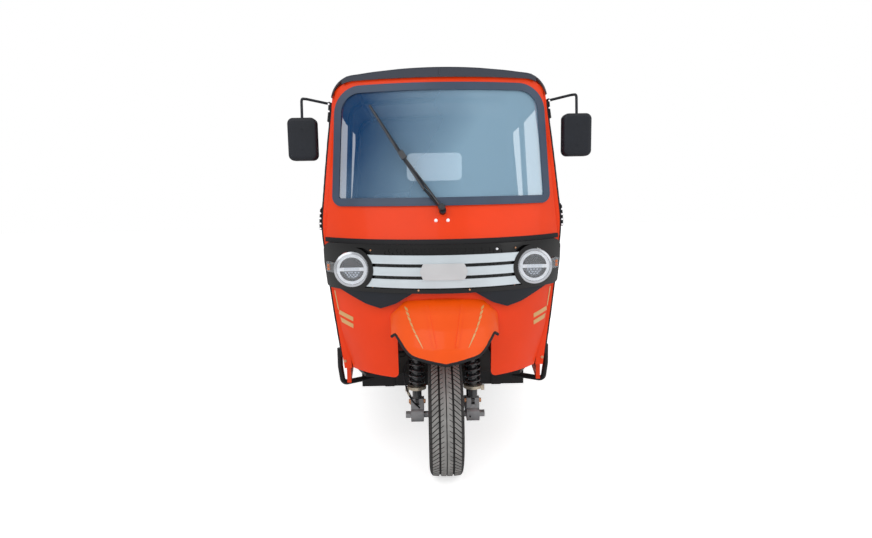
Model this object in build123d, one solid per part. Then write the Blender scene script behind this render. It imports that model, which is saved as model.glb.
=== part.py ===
from build123d import *
import os
from math import asin, atan2, cos, degrees, hypot, radians, sin, sqrt, tan

# A three-wheeled passenger auto rickshaw with a rounded front cowl, a soft top and a rear engine bay.
# Millimetres, +Z up, front towards -Y, +X to the right of someone who looks at the front.
# While it is drawn, y is counted back from the front axle; the last step centres it on its origin.

# Wheels
wheelbase = 2000
rear_track = 1150
tyre_radius = 247
tyre_width = 138
tyre_wall = 12
rim_radius = 158
rim_width = 104
rim_wall = 5
drum_radius = 98
hub_radius = 34
stub_radius = 13
wheel_gap = 0.5
groove_depth = 6
groove_width = 7

# Steering and front fork
rake = 20
axis_lead = 65
fork_half = 115
fork_tube = 40
crown_z = 565
crown_height = 34
stem_radius = 17
head_radius = 30
head_bottom_z = 622
head_top_z = 802
bar_half = 285
bar_tube = 25
bar_z = 1000
bar_set_back = 45
grip_radius = 17
grip_length = 120
pivot_y = 185
pivot_z = 235
arm_width = 52
pivot_boss = 24
boss_width = 34
axle_boss = 30
clevis_deep = 28
clevis_reach = 14
eye_width = 14
eye_radius = 12
spring_radius = 33
spring_wire = 10
spring_turns = 6.5
damper_radius = 19
damper_low_z = 304
damper_high_z = 545

# Front skin
cowl_wall = 14
seat_gap = 0.3
trim_gap = 20
cowl_top_z = 1618
cowl_corner = 105
arch_half = 185
arch_top_z = 690
arch_corner = 110
housing_wall = 6
housing_back_y = 335
housing_half = 214
housing_top_z = 742
# Rows of the front skin: height, y at the middle, y at the sides, half width
lower_rows = [
    (425, -100, 95, 385),
    (600, -118, 90, 430),
    (780, -132, 85, 455),
    (965, -130, 85, 475),
]
upper_rows = [
    (985, -126, 88, 478),
    (1110, -86, 105, 468),
    (1345, 0, 150, 452),
    (1618, 98, 200, 430),
]
nose_rows = [
    (540, -302, -40, 222),
    (600, -292, -40, 222),
    (660, -262, -40, 222),
    (715, -205, -40, 222),
    (756, -138, -40, 222),
]
nose_wall = 6
rib_proud = 4
rib_wide = 12
rib_low_x = 40
rib_low_z = 606
rib_high_x = 62
rib_high_z = 738

# Windscreen
wiper_boss = 13
seal_low_z = 1117
seal_high_z = 1591
seal_low_half = 441
seal_high_half = 428
seal_width = 25
seal_proud = 7
seal_depth = 22
seal_corner = 105
seal_foot = 34
glass_wall = 6

# Door hoop behind the cowl
hoop_depth = 46
hoop_width = 42
hoop_top_z = 1640
piping = 9
# Rows of the hoop: height, half width outside
hoop_rows = [(400, 424), (680, 456), (1030, 494), (1330, 468), (1500, 451)]

# Grille, lamps and bars
grille_low_z = 781
grille_high_z = 967
grille_half = 486
grille_proud = 26
grille_corner = 34
field_sink = 14
field_foot = 16
field_head = 14
mesh_cell = 18
mesh_web = 1.6
mesh_wall = 2
mesh_margin = 1
skirt_proud = 20
skirt_low_z = 716
skirt_in_x = 120
skirt_foot_x = 247
skirt_out_x = 420
lamp_x = 358
lamp_z = 868
lamp_radius = 69
lamp_bezel = 17
lamp_depth = 46
lamp_front_y = -62
bar_proud = 12
bar_high = 33
bar_levels = [818, 864, 910]
badge_half = 92
badge_high = 62
badge_low_z = 833
signal_high = 42
signal_half = 474

# Floor and chassis
floor_z = 330
floor_wall = 14
cross_deep = 50
stay_x = 120
stay_y = 378
stay_tube = 36
arm_cross_y = 1560
back_cross_y = 2262
rail_x = 250
rail_wide = 44
rail_high = 62
rail_front_y = 345
rail_back_y = 2330
sill_wall = 18
sill_high = 120

# Cabin
seat_half = 258
seat_front_y = 610
seat_back_y = 955
seat_base_top_z = 610
cushion_high = 92
driver_back_low_z = 760
driver_back_top_z = 1160
back_thick = 72
back_lean = 8
bench_half = 465
bench_front_y = 1500
bench_back_y = 1930
bench_top_z = 560
deck_z = 655
bench_cushion_high = 120
bench_back_top_z = 1145
bench_back_lean = 11
dash_back_y = 128
dash_top_z = 1092
dash_low_z = 900
dash_wall = 10

# Rear body
body_half = 650
body_wall = 22
body_low_z = 335
body_rim_z = 1000
quarter_front_y = 1420
quarter_back_y = 2255
rear_panel_y = 2395
rear_corner = 90
arch_radius = 290
well_wall = 8
well_inner_x = 486
door_half = 395
door_low_z = 478
door_high_z = 856
door_wall = 16
door_gap = 6
hinge_radius = 7
bumper_y = 2415
bumper_z = 400
bumper_tube = 32

# Soft top
top_wall = 9
visor_proud = 12
visor_deep = 60
# Rows of the soft top: y, half width at the body rim, half width at the shoulder, height of the ridge
top_rows = [
    (70, 482, 446, 1662),
    (400, 492, 456, 1682),
    (1200, 556, 512, 1700),
    (2000, 616, 545, 1692),
    (2440, 624, 550, 1674),
]
shoulder_drop = 26
shoulder_radius = 100
ridge_radius = 2600
side_open_z = 1545
side_open_back_y = 1990
rear_top_radius = 150
hoop_tube = 30
b_hoop_y = 1170
c_hoop_y = 2030
window_half = 212
window_low_z = 1222
window_high_z = 1432

# Engine and drive
engine_half = 200
engine_front_y = 1985
engine_back_y = 2225
engine_low_z = 215
engine_high_z = 560

# Rear suspension
carrier_x = 452
carrier_half = 22
shaft_z = 236
shock_x = 428
shock_y = 1905
shock_low_z = 290

# Mirrors
mirror_x = 567
mirror_z = 1385
mirror_wide = 119
mirror_high = 174
mirror_deep = 52
mirror_y = 150
arm_rod = 11

rear_axle_y = wheelbase
front_most_y = nose_rows[0][1]
rear_most_y = bumper_y + bumper_tube / 2
centre_y = (front_most_y + rear_most_y) / 2


def steer_y(z):
    """y of the steering axis at a height"""
    return z * tan(radians(rake)) - axis_lead


def steer_frame(z):
    """A frame on the steering axis, with its own Z along the axis"""
    return Pos(0, steer_y(z), z) * Rot(-rake, 0, 0)


def both(shape):
    """A piece and its mirror image across the middle plane"""
    return Compound(children=list(shape.solids()) + list(mirror(shape, about=Plane.YZ).solids()))


def tube(points, diameter, bend):
    path = Line(*points) if len(points) == 2 else FilletPolyline(*points, radius=bend)
    return sweep(Plane(origin=path @ 0, z_dir=path % 0) * Circle(diameter / 2), path=path)


def front_outline(points, radii, y0=-600, y1=3000):
    """A prism along y over a closed outline in front view (x, z)"""
    loop = FilletPolyline(*[(x, 0, z) for x, z in points], radius=radii, close=True)
    return Pos(0, y0, 0) * extrude(make_face(loop), amount=y1 - y0, dir=(0, 1, 0))


def side_outline(points, radii, x0, x1):
    """A prism along x over a closed outline in side view (y, z)"""
    loop = FilletPolyline(*[(0, y, z) for y, z in points], radius=radii, close=True)
    return Pos(x0, 0, 0) * extrude(make_face(loop), amount=x1 - x0, dir=(1, 0, 0))


def plan_outline(points, radii, z0, z1):
    """A prism along z over a closed outline in plan (x, y)"""
    loop = FilletPolyline(*[(x, y, 0) for x, y in points], radius=radii, close=True)
    return Pos(0, 0, z0) * extrude(make_face(loop), amount=z1 - z0, dir=(0, 0, 1))


def bow_arc(row, proud, backwards=False):
    """The arc of one row of a bowed skin, moved out by proud"""
    z, y_mid, y_side, half = row
    drop = y_side - y_mid
    radius = (half ** 2 + drop ** 2) / (2 * drop)
    spread = asin(half / radius)
    r = radius + proud
    ends = [(r * sin(a), y_mid + radius - r * cos(a), z) for a in (-spread, 0, spread)]
    if backwards:
        ends.reverse()
    return ThreePointArc(*ends)


def fused_pair(shape):
    """A piece of the middle joined with its mirror image"""
    return shape + mirror(shape, about=Plane.YZ)


def closed_face(first, second):
    return make_face([first, Line(first @ 1, second @ 0), second, Line(second @ 1, first @ 0)])


def skin(rows, proud, wall):
    """A bowed skin between its outer face, moved out by proud, and wall behind it"""
    faces = [closed_face(bow_arc(row, proud), bow_arc(row, proud - wall, True)) for row in rows]
    return loft(faces, ruled=True)


def behind(rows, proud, reach=900, back_y=3000):
    """All that lies behind a bowed skin moved out by proud, as wide as reach"""
    faces = []
    for row in rows:
        arc = bow_arc(row, proud)
        right, left = arc @ 1, arc @ 0
        z = row[0]
        around = Polyline(right, (reach, right.Y, z), (reach, back_y, z), (-reach, back_y, z),
                          (-reach, left.Y, z), left)
        faces.append(make_face([arc, *around.edges()]))
    return loft(faces, ruled=True)


def widened(rows, extra):
    """The rows with every arc carried on to a larger half width"""
    wide = []
    for z, y_mid, y_side, half in rows:
        drop = y_side - y_mid
        radius = (half ** 2 + drop ** 2) / (2 * drop)
        wide.append((z, y_mid, y_mid + radius - sqrt(radius ** 2 - (half + extra) ** 2), half + extra))
    return wide


def stretched(rows, low_z, high_z):
    """The rows with the first and the last carried on in line to new heights"""
    def carried(a, b, z):
        share = (z - a[0]) / (b[0] - a[0])
        return tuple(p + (q - p) * share for p, q in zip(a, b))
    inner = [row for row in rows if low_z < row[0] < high_z]
    below = carried(*bracket(rows, low_z), low_z)
    above = carried(*bracket(rows, high_z), high_z)
    return [below] + inner + [above]


def bracket(rows, z):
    """The two rows whose line passes a height"""
    for a, b in zip(rows, rows[1:]):
        if z <= b[0]:
            return a, b
    return rows[-2], rows[-1]


# Wheels

def tyre():
    """A tyre about the X axis, open on the inside, with three grooves round the tread"""
    half = tyre_width / 2
    bead = rim_radius + wheel_gap
    foot = rim_width / 2 - rim_wall - wheel_gap
    outer = [
        (-foot, bead), (-foot, bead + 12), (-half, bead + 36), (-half, tyre_radius - 34),
        (-half * 0.80, tyre_radius - 4), (0, tyre_radius), (half * 0.80, tyre_radius - 4),
        (half, tyre_radius - 34), (half, bead + 36), (foot, bead + 12), (foot, bead),
    ]
    inner = [
        (foot - tyre_wall, bead), (half - tyre_wall, bead + 34),
        (half - tyre_wall - 6, tyre_radius - 30), (-half + tyre_wall + 6, tyre_radius - 30),
        (-half + tyre_wall, bead + 34), (-foot + tyre_wall, bead),
    ]
    radii = [0, 0, 20, 20, 14, 0, 14, 20, 20, 0, 0, 0, 18, 16, 16, 18, 0]
    loop = FilletPolyline(*[(x, 0, z) for x, z in outer + inner], radius=radii, close=True)
    body = revolve(make_face(loop), axis=Axis.X)
    for x in (-30, 0, 30):
        ring = Cylinder(tyre_radius + 5, groove_width) - Cylinder(tyre_radius - groove_depth, groove_width)
        body -= Pos(x, 0, 0) * Rot(0, 90, 0) * ring
    return body


def rim(dish):
    """A pressed steel wheel about the X axis, with its disc pressed out by dish towards +X, and its drum"""
    half = rim_width / 2
    r = rim_radius
    profile = [
        (-half, r + 10), (-half + rim_wall, r + 10), (-half + rim_wall, r), (-half + 24, r - 4),
        (-18, r - 26), (18, r - 26), (half - 24, r - 4), (half - rim_wall, r), (half - rim_wall, r + 10),
        (half, r + 10), (half, r - rim_wall), (half - 20, r - rim_wall - 6), (22, r - 26 - rim_wall),
        (-22, r - 26 - rim_wall), (-half + 20, r - rim_wall - 6), (-half, r - rim_wall),
    ]
    band = revolve(make_face(Polyline(*[(x, 0, z) for x, z in profile], close=True)), axis=Axis.X)
    disc = [
        (-8, r - 29), (dish, r - 62), (dish, hub_radius + 20), (dish + 14, hub_radius), (dish + 14, stub_radius + 1),
        (dish + 4, stub_radius + 1), (dish - 6, hub_radius + 14), (dish - 6, r - 66), (-16, r - 29),
    ]
    plate = revolve(make_face(Polyline(*[(x, 0, z) for x, z in disc], close=True)), axis=Axis.X)
    drum = [
        (dish - 6, stub_radius + 1), (dish - 6, drum_radius - 12), (dish - 18, drum_radius),
        (-half + 6, drum_radius), (-half + 6, drum_radius - 8), (dish - 16, drum_radius - 10),
        (dish - 16, hub_radius), (-half + 16, hub_radius), (-half + 16, stub_radius + 1),
    ]
    pan = revolve(make_face(Polyline(*[(x, 0, z) for x, z in drum], close=True)), axis=Axis.X)
    wheel = band + plate + pan
    slots = PolarLocations(drum_radius + 8, 12)
    holes = [Rot(0, 90, 0) * spot * Cylinder(8, rim_width) for spot in slots]
    nuts = [Rot(0, 90, 0) * spot * Pos(0, 0, dish - 1) * extrude(RegularPolygon(9, 6), amount=13)
            for spot in PolarLocations(hub_radius + 26, 4)]
    for hole in holes:
        wheel -= hole
    for nut in nuts:
        wheel += nut
    return wheel


# Steering body

def front_fork():
    """The stem, the crown and two struts that run down behind the wheel to the arm pivots"""
    stem_length = (bar_z - crown_z) / cos(radians(rake))
    stem = steer_frame(crown_z) * Cylinder(
        stem_radius, stem_length, align=(Align.CENTER, Align.CENTER, Align.MIN))
    crown = Box(2 * fork_half + spring_radius, 2 * fork_tube, crown_height)
    crown = steer_frame(crown_z) * fillet(crown.edges().filter_by(Axis.Z), fork_tube * 0.6)
    shoulder = (fork_half, steer_y(crown_z) + 22, crown_z)
    knee = (fork_half, pivot_y - 6, pivot_z + 120)
    strut = tube([shoulder, knee, (fork_half, pivot_y, pivot_z)], fork_tube * 0.8, 150)
    boss = Pos(fork_half, pivot_y, pivot_z) * Rot(0, 90, 0) * Cylinder(pivot_boss, boss_width)
    return stem + crown + fused_pair(strut + boss)


def knuckle_arms():
    """Two cast arms from the strut pivots forward to the axle, each with its damper clevis, on one axle"""
    run = hypot(pivot_y, pivot_z - tyre_radius)
    slope = atan2(pivot_z - tyre_radius, pivot_y)
    plane = Plane(origin=(fork_half - arm_width / 2, 0, tyre_radius),
                  x_dir=(0, cos(slope), sin(slope)), z_dir=(1, 0, 0))
    outline = make_hull([*Circle(axle_boss).edges(), *(Pos(run, 0) * Circle(pivot_boss)).edges()])
    arm = plane * extrude(outline, amount=arm_width)
    slot_front = pivot_y - pivot_boss - fork_tube / 2
    slot = Pos(fork_half, slot_front, pivot_z) * Box(
        boss_width + 2 * seat_gap, 2 * pivot_boss + fork_tube + 60, 200,
        align=(Align.CENTER, Align.MIN, Align.CENTER))
    clevis_top = damper_low_z + clevis_reach
    clevis = Pos(fork_half, 0, tyre_radius) * Box(
        arm_width, clevis_deep, clevis_top - tyre_radius, align=(Align.CENTER, Align.CENTER, Align.MIN))
    eye_slot = Pos(fork_half, 0, damper_low_z - clevis_deep / 2 - seat_gap) * Box(
        eye_width + 2 * seat_gap, 2 * clevis_deep, 200, align=(Align.CENTER, Align.CENTER, Align.MIN))
    end_nut = Pos(fork_half + arm_width / 2, 0, tyre_radius) * Rot(0, 90, 0) * extrude(
        RegularPolygon(15, 6), amount=22)
    axle = Rot(0, 90, 0) * Cylinder(stub_radius, 2 * fork_half + arm_width)
    side = arm - slot + (clevis - eye_slot) + end_nut
    return fused_pair(side) + Pos(0, 0, tyre_radius) * axle


def coil(radius, wire, turns, low_z, high_z, x, y):
    """A coil spring that stands on z, with its wire swept round a helix"""
    height = high_z - low_z
    path = Helix(pitch=height / turns, height=height, radius=radius - wire / 2)
    wound = sweep(Plane(origin=path @ 0, z_dir=path % 0) * Circle(wire / 2), path=path, is_frenet=True)
    return Pos(x, y, low_z) * wound


def front_shocks():
    """Two coil-over dampers between the clevises and the fork crown"""
    seat_z = damper_low_z + 56
    top_z = damper_high_z
    eye = Pos(fork_half, 0, damper_low_z) * Rot(0, 90, 0) * Cylinder(eye_radius, eye_width)
    body_z = damper_low_z + clevis_reach + 2 * seat_gap
    body = Pos(fork_half, 0, body_z) * Cylinder(
        damper_radius, top_z - body_z, align=(Align.CENTER, Align.CENTER, Align.MIN))
    neck = Pos(fork_half, 0, damper_low_z) * Box(
        eye_width, eye_radius, body_z + 1 - damper_low_z, align=(Align.CENTER, Align.CENTER, Align.MIN))
    collar = Pos(fork_half, 0, seat_z) * Cylinder(
        spring_radius + 4, 9, align=(Align.CENTER, Align.CENTER, Align.MIN))
    cap = Pos(fork_half, 0, top_z - 8) * Cylinder(
        spring_radius + 2, 9, align=(Align.CENTER, Align.CENTER, Align.MIN))
    spring = coil(spring_radius, spring_wire, spring_turns, seat_z + 11, top_z - 14, fork_half, 0)
    return both(eye + neck + body + collar + cap + spring)


def handlebar():
    """A bent bar on the stem with two grips, two levers and the clock housing in the middle"""
    y = steer_y(bar_z) + bar_set_back
    end = bar_half
    bar = tube([(-end, y + 42, bar_z - 6), (-end * 0.42, y, bar_z), (end * 0.42, y, bar_z),
                (end, y + 42, bar_z - 6)], bar_tube, 60)
    grip = Plane(origin=(end - grip_length, y + 42 * (1 - grip_length / (end * 0.58)), bar_z - 4),
                 z_dir=(end * 0.58, 42, -6)) * Cylinder(
        grip_radius, grip_length, align=(Align.CENTER, Align.CENTER, Align.MIN))
    lever = tube([(end - grip_length - 20, y + 18, bar_z), (end - grip_length, y - 24, bar_z - 2),
                  (end - 10, y + 2, bar_z - 10)], 11, 18)
    clamp = steer_frame(bar_z - 20) * Cylinder(stem_radius + 10, 44)
    bridge = Pos(0, y - bar_set_back / 2, bar_z - 2) * Box(70, bar_set_back + 20, 22)
    clock = Pos(0, y - 20, bar_z + 12) * Rot(35, 0, 0) * Cylinder(56, 44)
    stem = steer_frame(crown_z) * Cylinder(
        stem_radius + seat_gap, (bar_z - crown_z) / cos(radians(rake)) + 1,
        align=(Align.CENTER, Align.CENTER, Align.MIN))
    return bar + fused_pair(grip + lever) + (clamp + bridge + clock - stem)


# Front body

def nose():
    """The plastic nose over the front wheel, a thin shell with two ribs and a rubber lip"""
    outline = front_outline(
        [(-150, 748), (0, 758), (150, 748), (210, 690), (207, 612), (188, 632), (130, 566), (0, 542),
         (-130, 566), (-188, 632), (-207, 612), (-210, 690)],
        [26, 0, 26, 18, 3, 8, 60, 0, 60, 8, 3, 18], y1=300)
    shell = skin(nose_rows, 0, nose_wall) & outline
    rib = front_outline([(rib_low_x - rib_wide / 2, rib_low_z), (rib_low_x + rib_wide / 2, rib_low_z),
                         (rib_high_x + rib_wide, rib_high_z), (rib_high_x, rib_high_z)],
                        [rib_wide / 3] * 4, y1=300)
    shell += fused_pair(skin(nose_rows, rib_proud, rib_proud + 2) & rib)
    return shell - behind(stretched(lower_rows, 400, 800), seat_gap)


def cowl_lower():
    """The lower front panel: two legs beside the wheel arch, holes for the lamps, rounded corners"""
    low = lower_rows[0][0]
    high = lower_rows[-1][0]
    outline = front_outline(
        [(-560, high), (560, high), (560, 560), (440, low), (arch_half, low), (arch_half, arch_top_z),
         (-arch_half, arch_top_z), (-arch_half, low), (-440, low), (-560, 560)],
        [0, 0, 0, 120, 22, arch_corner, arch_corner, 22, 120, 0])
    panel = skin(lower_rows, 0, cowl_wall) & outline
    hole = Pos(lamp_x, 0, lamp_z) * Rot(90, 0, 0) * Cylinder(lamp_radius + trim_gap / 2, 600)
    return panel - hole - mirror(hole, about=Plane.YZ)


def screen_outline(grow):
    """The windscreen in front view, grown outwards"""
    low, high = seal_low_z - grow, seal_high_z + grow
    a, b = seal_low_half + grow, seal_high_half + grow
    return front_outline([(-a, low), (a, low), (b, high), (-b, high)],
                         [seal_foot + grow, seal_foot + grow, seal_corner + grow, seal_corner + grow])


def cowl_top_outline(grow):
    low = upper_rows[0][0] - 40
    a, b, high = 560 + grow, 442 + grow, cowl_top_z + grow
    return front_outline([(-a, low), (a, low), (b, high), (-b, high)],
                         [0, 0, cowl_corner + grow, cowl_corner + grow])


def cowl_upper():
    """The scuttle and the windscreen surround in one pressing"""
    spindle_hole = wiper_spot() * Cylinder(wiper_boss + seat_gap, 120)
    rows = stretched(upper_rows, upper_rows[0][0], cowl_top_z + 20)
    return (skin(rows, 0, cowl_wall) & cowl_top_outline(-seat_gap)) - screen_outline(seat_gap) - spindle_hole


def wiper_spot():
    return Pos(0, -106, 1092) * Rot(75, 0, 0)


def windscreen_seal():
    """The rubber frame that holds the glass, proud of the cowl"""
    rows = stretched(upper_rows, seal_low_z - 40, cowl_top_z + 20)
    ring = (skin(rows, seal_proud, seal_depth) & screen_outline(0)) - screen_outline(-seal_width)
    lip = (skin(rows, seal_proud, seal_proud - seat_gap) & screen_outline(6)) - screen_outline(-seal_width)
    return ring + lip


def windscreen_glass():
    rows = stretched(upper_rows, seal_low_z - 40, cowl_top_z + 20)
    return skin(rows, 0, glass_wall) & screen_outline(-seal_width - seat_gap)


def hoop_outline(grow, low_z):
    rows = [(z, half + grow) for z, half in hoop_rows]
    low_half = rows[0][1]
    top = hoop_top_z + grow
    right = [(half, z) for z, half in rows[1:]] + [(rows[-1][1] - 8, top)]
    left = [(-x, z) for x, z in reversed(right)]
    points = [(-low_half, low_z), (low_half, low_z)] + right + left
    corner = cowl_corner + grow
    radii = [0, 0, 300, 500, 300, 0, corner, corner, 0, 300, 500, 300]
    return front_outline(points, radii)


def hoop_side(front_gap, depth):
    """The hoop in side view: a strip that follows the back edge of the cowl's sides"""
    rows = lower_rows + upper_rows
    front = []
    for z, y_mid, y_side, half in rows:
        drop = y_side - y_mid
        radius = (half ** 2 + drop ** 2) / (2 * drop)
        front.append((y_side + cowl_wall * sqrt(1 - (half / radius) ** 2) + front_gap + seat_gap, z))
    front[0] = (front[0][0], 380)
    front[-1] = (front[-1][0] + 8, 1660)
    back = [(y + depth, z) for y, z in reversed(front)]
    points = front + back
    return side_outline(points, [0] * len(points), -700, 700)


def front_hoop():
    """The sheet steel door hoop behind the cowl, over both sides and the top"""
    ring = hoop_outline(0, 420) - hoop_outline(-hoop_width, 300)
    return ring & hoop_side(seat_gap, hoop_depth)


def body_trim():
    """Black rubber piping round the hoop and the trim line across the cowl"""
    edge = (hoop_outline(piping, 424) - hoop_outline(seat_gap, 300)) & hoop_side(hoop_depth - 12, 10)
    edge -= Pos(0, 0, side_open_z - 3) * Box(2000, 2000, 400, align=(Align.CENTER, Align.CENTER, Align.MIN))
    rows = stretched(lower_rows + upper_rows[1:], grille_high_z + seat_gap, upper_rows[0][0] - seat_gap)
    strip = skin(rows, 8, cowl_wall)
    return Compound(children=[*edge.solids(), *strip.solids()])


def grille_outline(grow):
    low, high, half = grille_low_z - grow, grille_high_z + grow, grille_half + grow
    corner = grille_corner + grow
    return front_outline([(-half, low), (half, low), (half, high), (-half, high)], [corner] * 4)


def grille_panel():
    """The black moulding across the front, sunk behind the bars, with a round well for each lamp"""
    rows = stretched(lower_rows, grille_low_z - 6, grille_high_z + 6)
    panel = skin(rows, grille_proud, grille_proud - seat_gap) & grille_outline(0)
    low, high = grille_low_z + field_foot, grille_high_z - field_head
    field = front_outline([(-lamp_x, low), (lamp_x, low), (lamp_x, high), (-lamp_x, high)], [0] * 4)
    ring = Pos(lamp_x, 0, lamp_z) * Rot(90, 0, 0) * Cylinder(lamp_radius + lamp_bezel, 1400)
    field -= fused_pair(ring)
    panel -= (skin(rows, grille_proud + 5, field_sink + 5) & field)
    hole = Pos(lamp_x, 0, lamp_z) * Rot(90, 0, 0) * Cylinder(lamp_radius + seat_gap, 600)
    return panel - hole - mirror(hole, about=Plane.YZ)


def grille_skirts():
    """Two black wedges under the grille that point down towards the nose"""
    rows = stretched(lower_rows, skirt_low_z - 20, grille_low_z + 20)
    outline = front_outline(
        [(skirt_in_x, grille_low_z - seat_gap), (skirt_foot_x - 60, skirt_low_z + 22), (skirt_foot_x, skirt_low_z),
         (skirt_foot_x + 60, skirt_low_z + 14), (skirt_out_x, grille_low_z - seat_gap)],
        [0, 90, 10, 120, 0])
    return both(skin(rows, skirt_proud, skirt_proud - seat_gap) & outline)


def grille_mesh():
    """The honeycomb, one bowed web with hexagonal holes where it shows between the bars"""
    rows = stretched(lower_rows, grille_low_z - 6, grille_high_z + 6)
    width = 2 * (lamp_x - lamp_radius - lamp_bezel - mesh_margin)
    low, high = grille_low_z + field_foot + mesh_margin, grille_high_z - field_head - mesh_margin
    middle = (low + high) / 2
    spots = HexLocations(mesh_cell / 2, int(width / mesh_cell) - 1, int((high - low) / mesh_cell))
    shown = [spot for spot in spots
             if all(abs(middle + spot.position.Y - z) > (bar_high - mesh_cell) / 2 for z in bar_levels)]
    cell = RegularPolygon(mesh_cell / 2 - mesh_web, 6, major_radius=False)
    web = Rectangle(width, high - low) - [spot * cell for spot in shown]
    plane = Plane(origin=(0, nose_rows[0][1], middle), x_dir=(1, 0, 0), z_dir=(0, -1, 0))
    prism = extrude(plane * web, amount=2 * nose_rows[0][1])
    return skin(rows, grille_proud - field_sink + mesh_wall + seat_gap, mesh_wall) & prism


def grille_bars():
    """Three bars that end in curves round the lamps"""
    rows = stretched(lower_rows, grille_low_z - 6, grille_high_z + 6)
    bars = []
    for z in bar_levels:
        strip = front_outline([(-lamp_x, z - bar_high / 2), (lamp_x, z - bar_high / 2),
                               (lamp_x, z + bar_high / 2), (-lamp_x, z + bar_high / 2)], [4] * 4)
        clear = Pos(lamp_x, 0, lamp_z) * Rot(90, 0, 0) * Cylinder(lamp_radius + lamp_bezel + seat_gap, 900)
        bar = skin(rows, grille_proud + bar_proud - field_sink, bar_proud - mesh_wall - 2 * seat_gap) & strip
        bars += (bar - clear - mirror(clear, about=Plane.YZ)).solids()
    return Compound(children=bars)


def badge_plate():
    rows = stretched(lower_rows, grille_low_z - 6, grille_high_z + 6)
    low, high = badge_low_z, badge_low_z + badge_high
    outline = front_outline([(-badge_half + 14, low), (badge_half - 14, low), (badge_half, (low + high) / 2),
                             (badge_half - 14, high), (-badge_half + 14, high), (-badge_half, (low + high) / 2)],
                            [10] * 6)
    return skin(rows, grille_proud + bar_proud - field_sink + 6, 5.7) & outline


def headlamp():
    """A round lamp in its cup, bezel towards the front, for the right side"""
    profile = [
        (0, lamp_depth), (lamp_radius - 22, lamp_depth), (lamp_radius, 14), (lamp_radius, -6),
        (lamp_radius - 9, -8), (lamp_radius - 9, 12), (lamp_radius - 28, lamp_depth - 8), (0, lamp_depth - 8),
    ]
    cup = revolve(make_face(Polyline(*[(x, 0, z) for x, z in profile], close=True)), axis=Axis.Z)
    return Pos(lamp_x, lamp_front_y, lamp_z) * Rot(-90, 0, 0) * cup


def lamp_lenses():
    dome = [(0, -10), (lamp_radius - 9 - seat_gap, -6), (lamp_radius - 9 - seat_gap, -1), (0, -5)]
    lens = revolve(make_face(Polyline(*[(x, 0, z) for x, z in dome], close=True)), axis=Axis.Z)
    return both(Pos(lamp_x, lamp_front_y, lamp_z) * Rot(-90, 0, 0) * lens)


def turn_signals():
    """Clear bar lenses that carry the lamp's middle line out to the sides"""
    rows = stretched(lower_rows, grille_low_z - 6, grille_high_z + 6)
    a = lamp_x + lamp_radius + 4
    strip = front_outline([(a, lamp_z - signal_high / 2), (signal_half, lamp_z - signal_high / 2),
                           (signal_half, lamp_z + signal_high / 2), (a, lamp_z + signal_high / 2)], [5] * 4)
    return both(skin(rows, grille_proud + 10, 9.7) & strip)


def wiper():
    """The arm and the blade over the glass, on a pivot in the scuttle"""
    pivot = wiper_spot() * Cylinder(wiper_boss, 30)
    arm = tube([(0, -116, 1092), (-66, -84, 1171), (-175, -28, 1345)], 9, 40)
    blade = tube([(-66, -80, 1171), (-280, 66, 1507)], 10, 1)
    return pivot + arm + blade


def mirror_right():
    """The mirror head with its bent arm from the plate on the hoop"""
    head = Pos(mirror_x, mirror_y, mirror_z) * Box(mirror_wide, mirror_deep, mirror_high)
    head = fillet(head.edges().filter_by(Axis.Y), 24)
    head = fillet(head.faces().sort_by(Axis.Y)[0].edges(), 16)
    top = 1554
    arm = tube([(466, 222, 1536), (mirror_x - 12, 200, top), (mirror_x, mirror_y + 8, top - 4),
                (mirror_x, mirror_y, mirror_z + mirror_high / 2 - 12)], arm_rod, 16)
    return head + arm


def pillar_plates():
    """Black plates riveted to the hoop, two on each side"""
    upper = hoop_plate(side_open_z - 85, side_open_z - 3)
    lower = hoop_plate(1012, 1104)
    return both(Compound(children=[*upper.solids(), *lower.solids()]))


def hoop_plate(low, high):
    block = front_outline([(380, low), (560, low), (560, high), (380, high)], [0] * 4)
    ring = hoop_outline(piping + 6, 300) - hoop_outline(piping + seat_gap, 300)
    return ring & block & hoop_side(4, hoop_depth - 4)


# Floor, chassis and cabin

def rail_low():
    """Height of the underside of the rails, which lie just under the floor"""
    return floor_z - floor_wall - seat_gap - rail_high


def chassis_frame():
    """Two box rails, cross members, the steering head with its stays"""
    low = rail_low()
    rail = side_outline([(rail_front_y, low), (rail_back_y, low), (rail_back_y, low + rail_high),
                         (rail_front_y, low + rail_high)], [0] * 4, rail_x - rail_wide / 2, rail_x + rail_wide / 2)
    frame = fused_pair(rail)
    crosses = [(stay_y, 380), (b_hoop_y, 450), (arm_cross_y, 450), (1900, rail_x), (back_cross_y, rail_x)]
    for y, half in crosses:
        frame += Pos(0, y, low + rail_high / 2) * Box(2 * half, cross_deep, rail_high)
    head_length = (head_top_z - head_bottom_z) / cos(radians(rake))
    head = steer_frame(head_bottom_z) * Cylinder(
        head_radius, head_length, align=(Align.CENTER, Align.CENTER, Align.MIN))
    stay = tube([(stem_radius + 4, steer_y(head_top_z) + 4, head_top_z - 26), (stay_x - 24, stay_y, head_top_z - 34),
                 (stay_x, stay_y, low + rail_high - 10)], stay_tube, 60)
    bore = steer_frame(head_bottom_z - 30) * Cylinder(
        stem_radius + seat_gap, head_length + 120, align=(Align.CENTER, Align.CENTER, Align.MIN))
    return frame + head + fused_pair(stay) - bore


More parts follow.
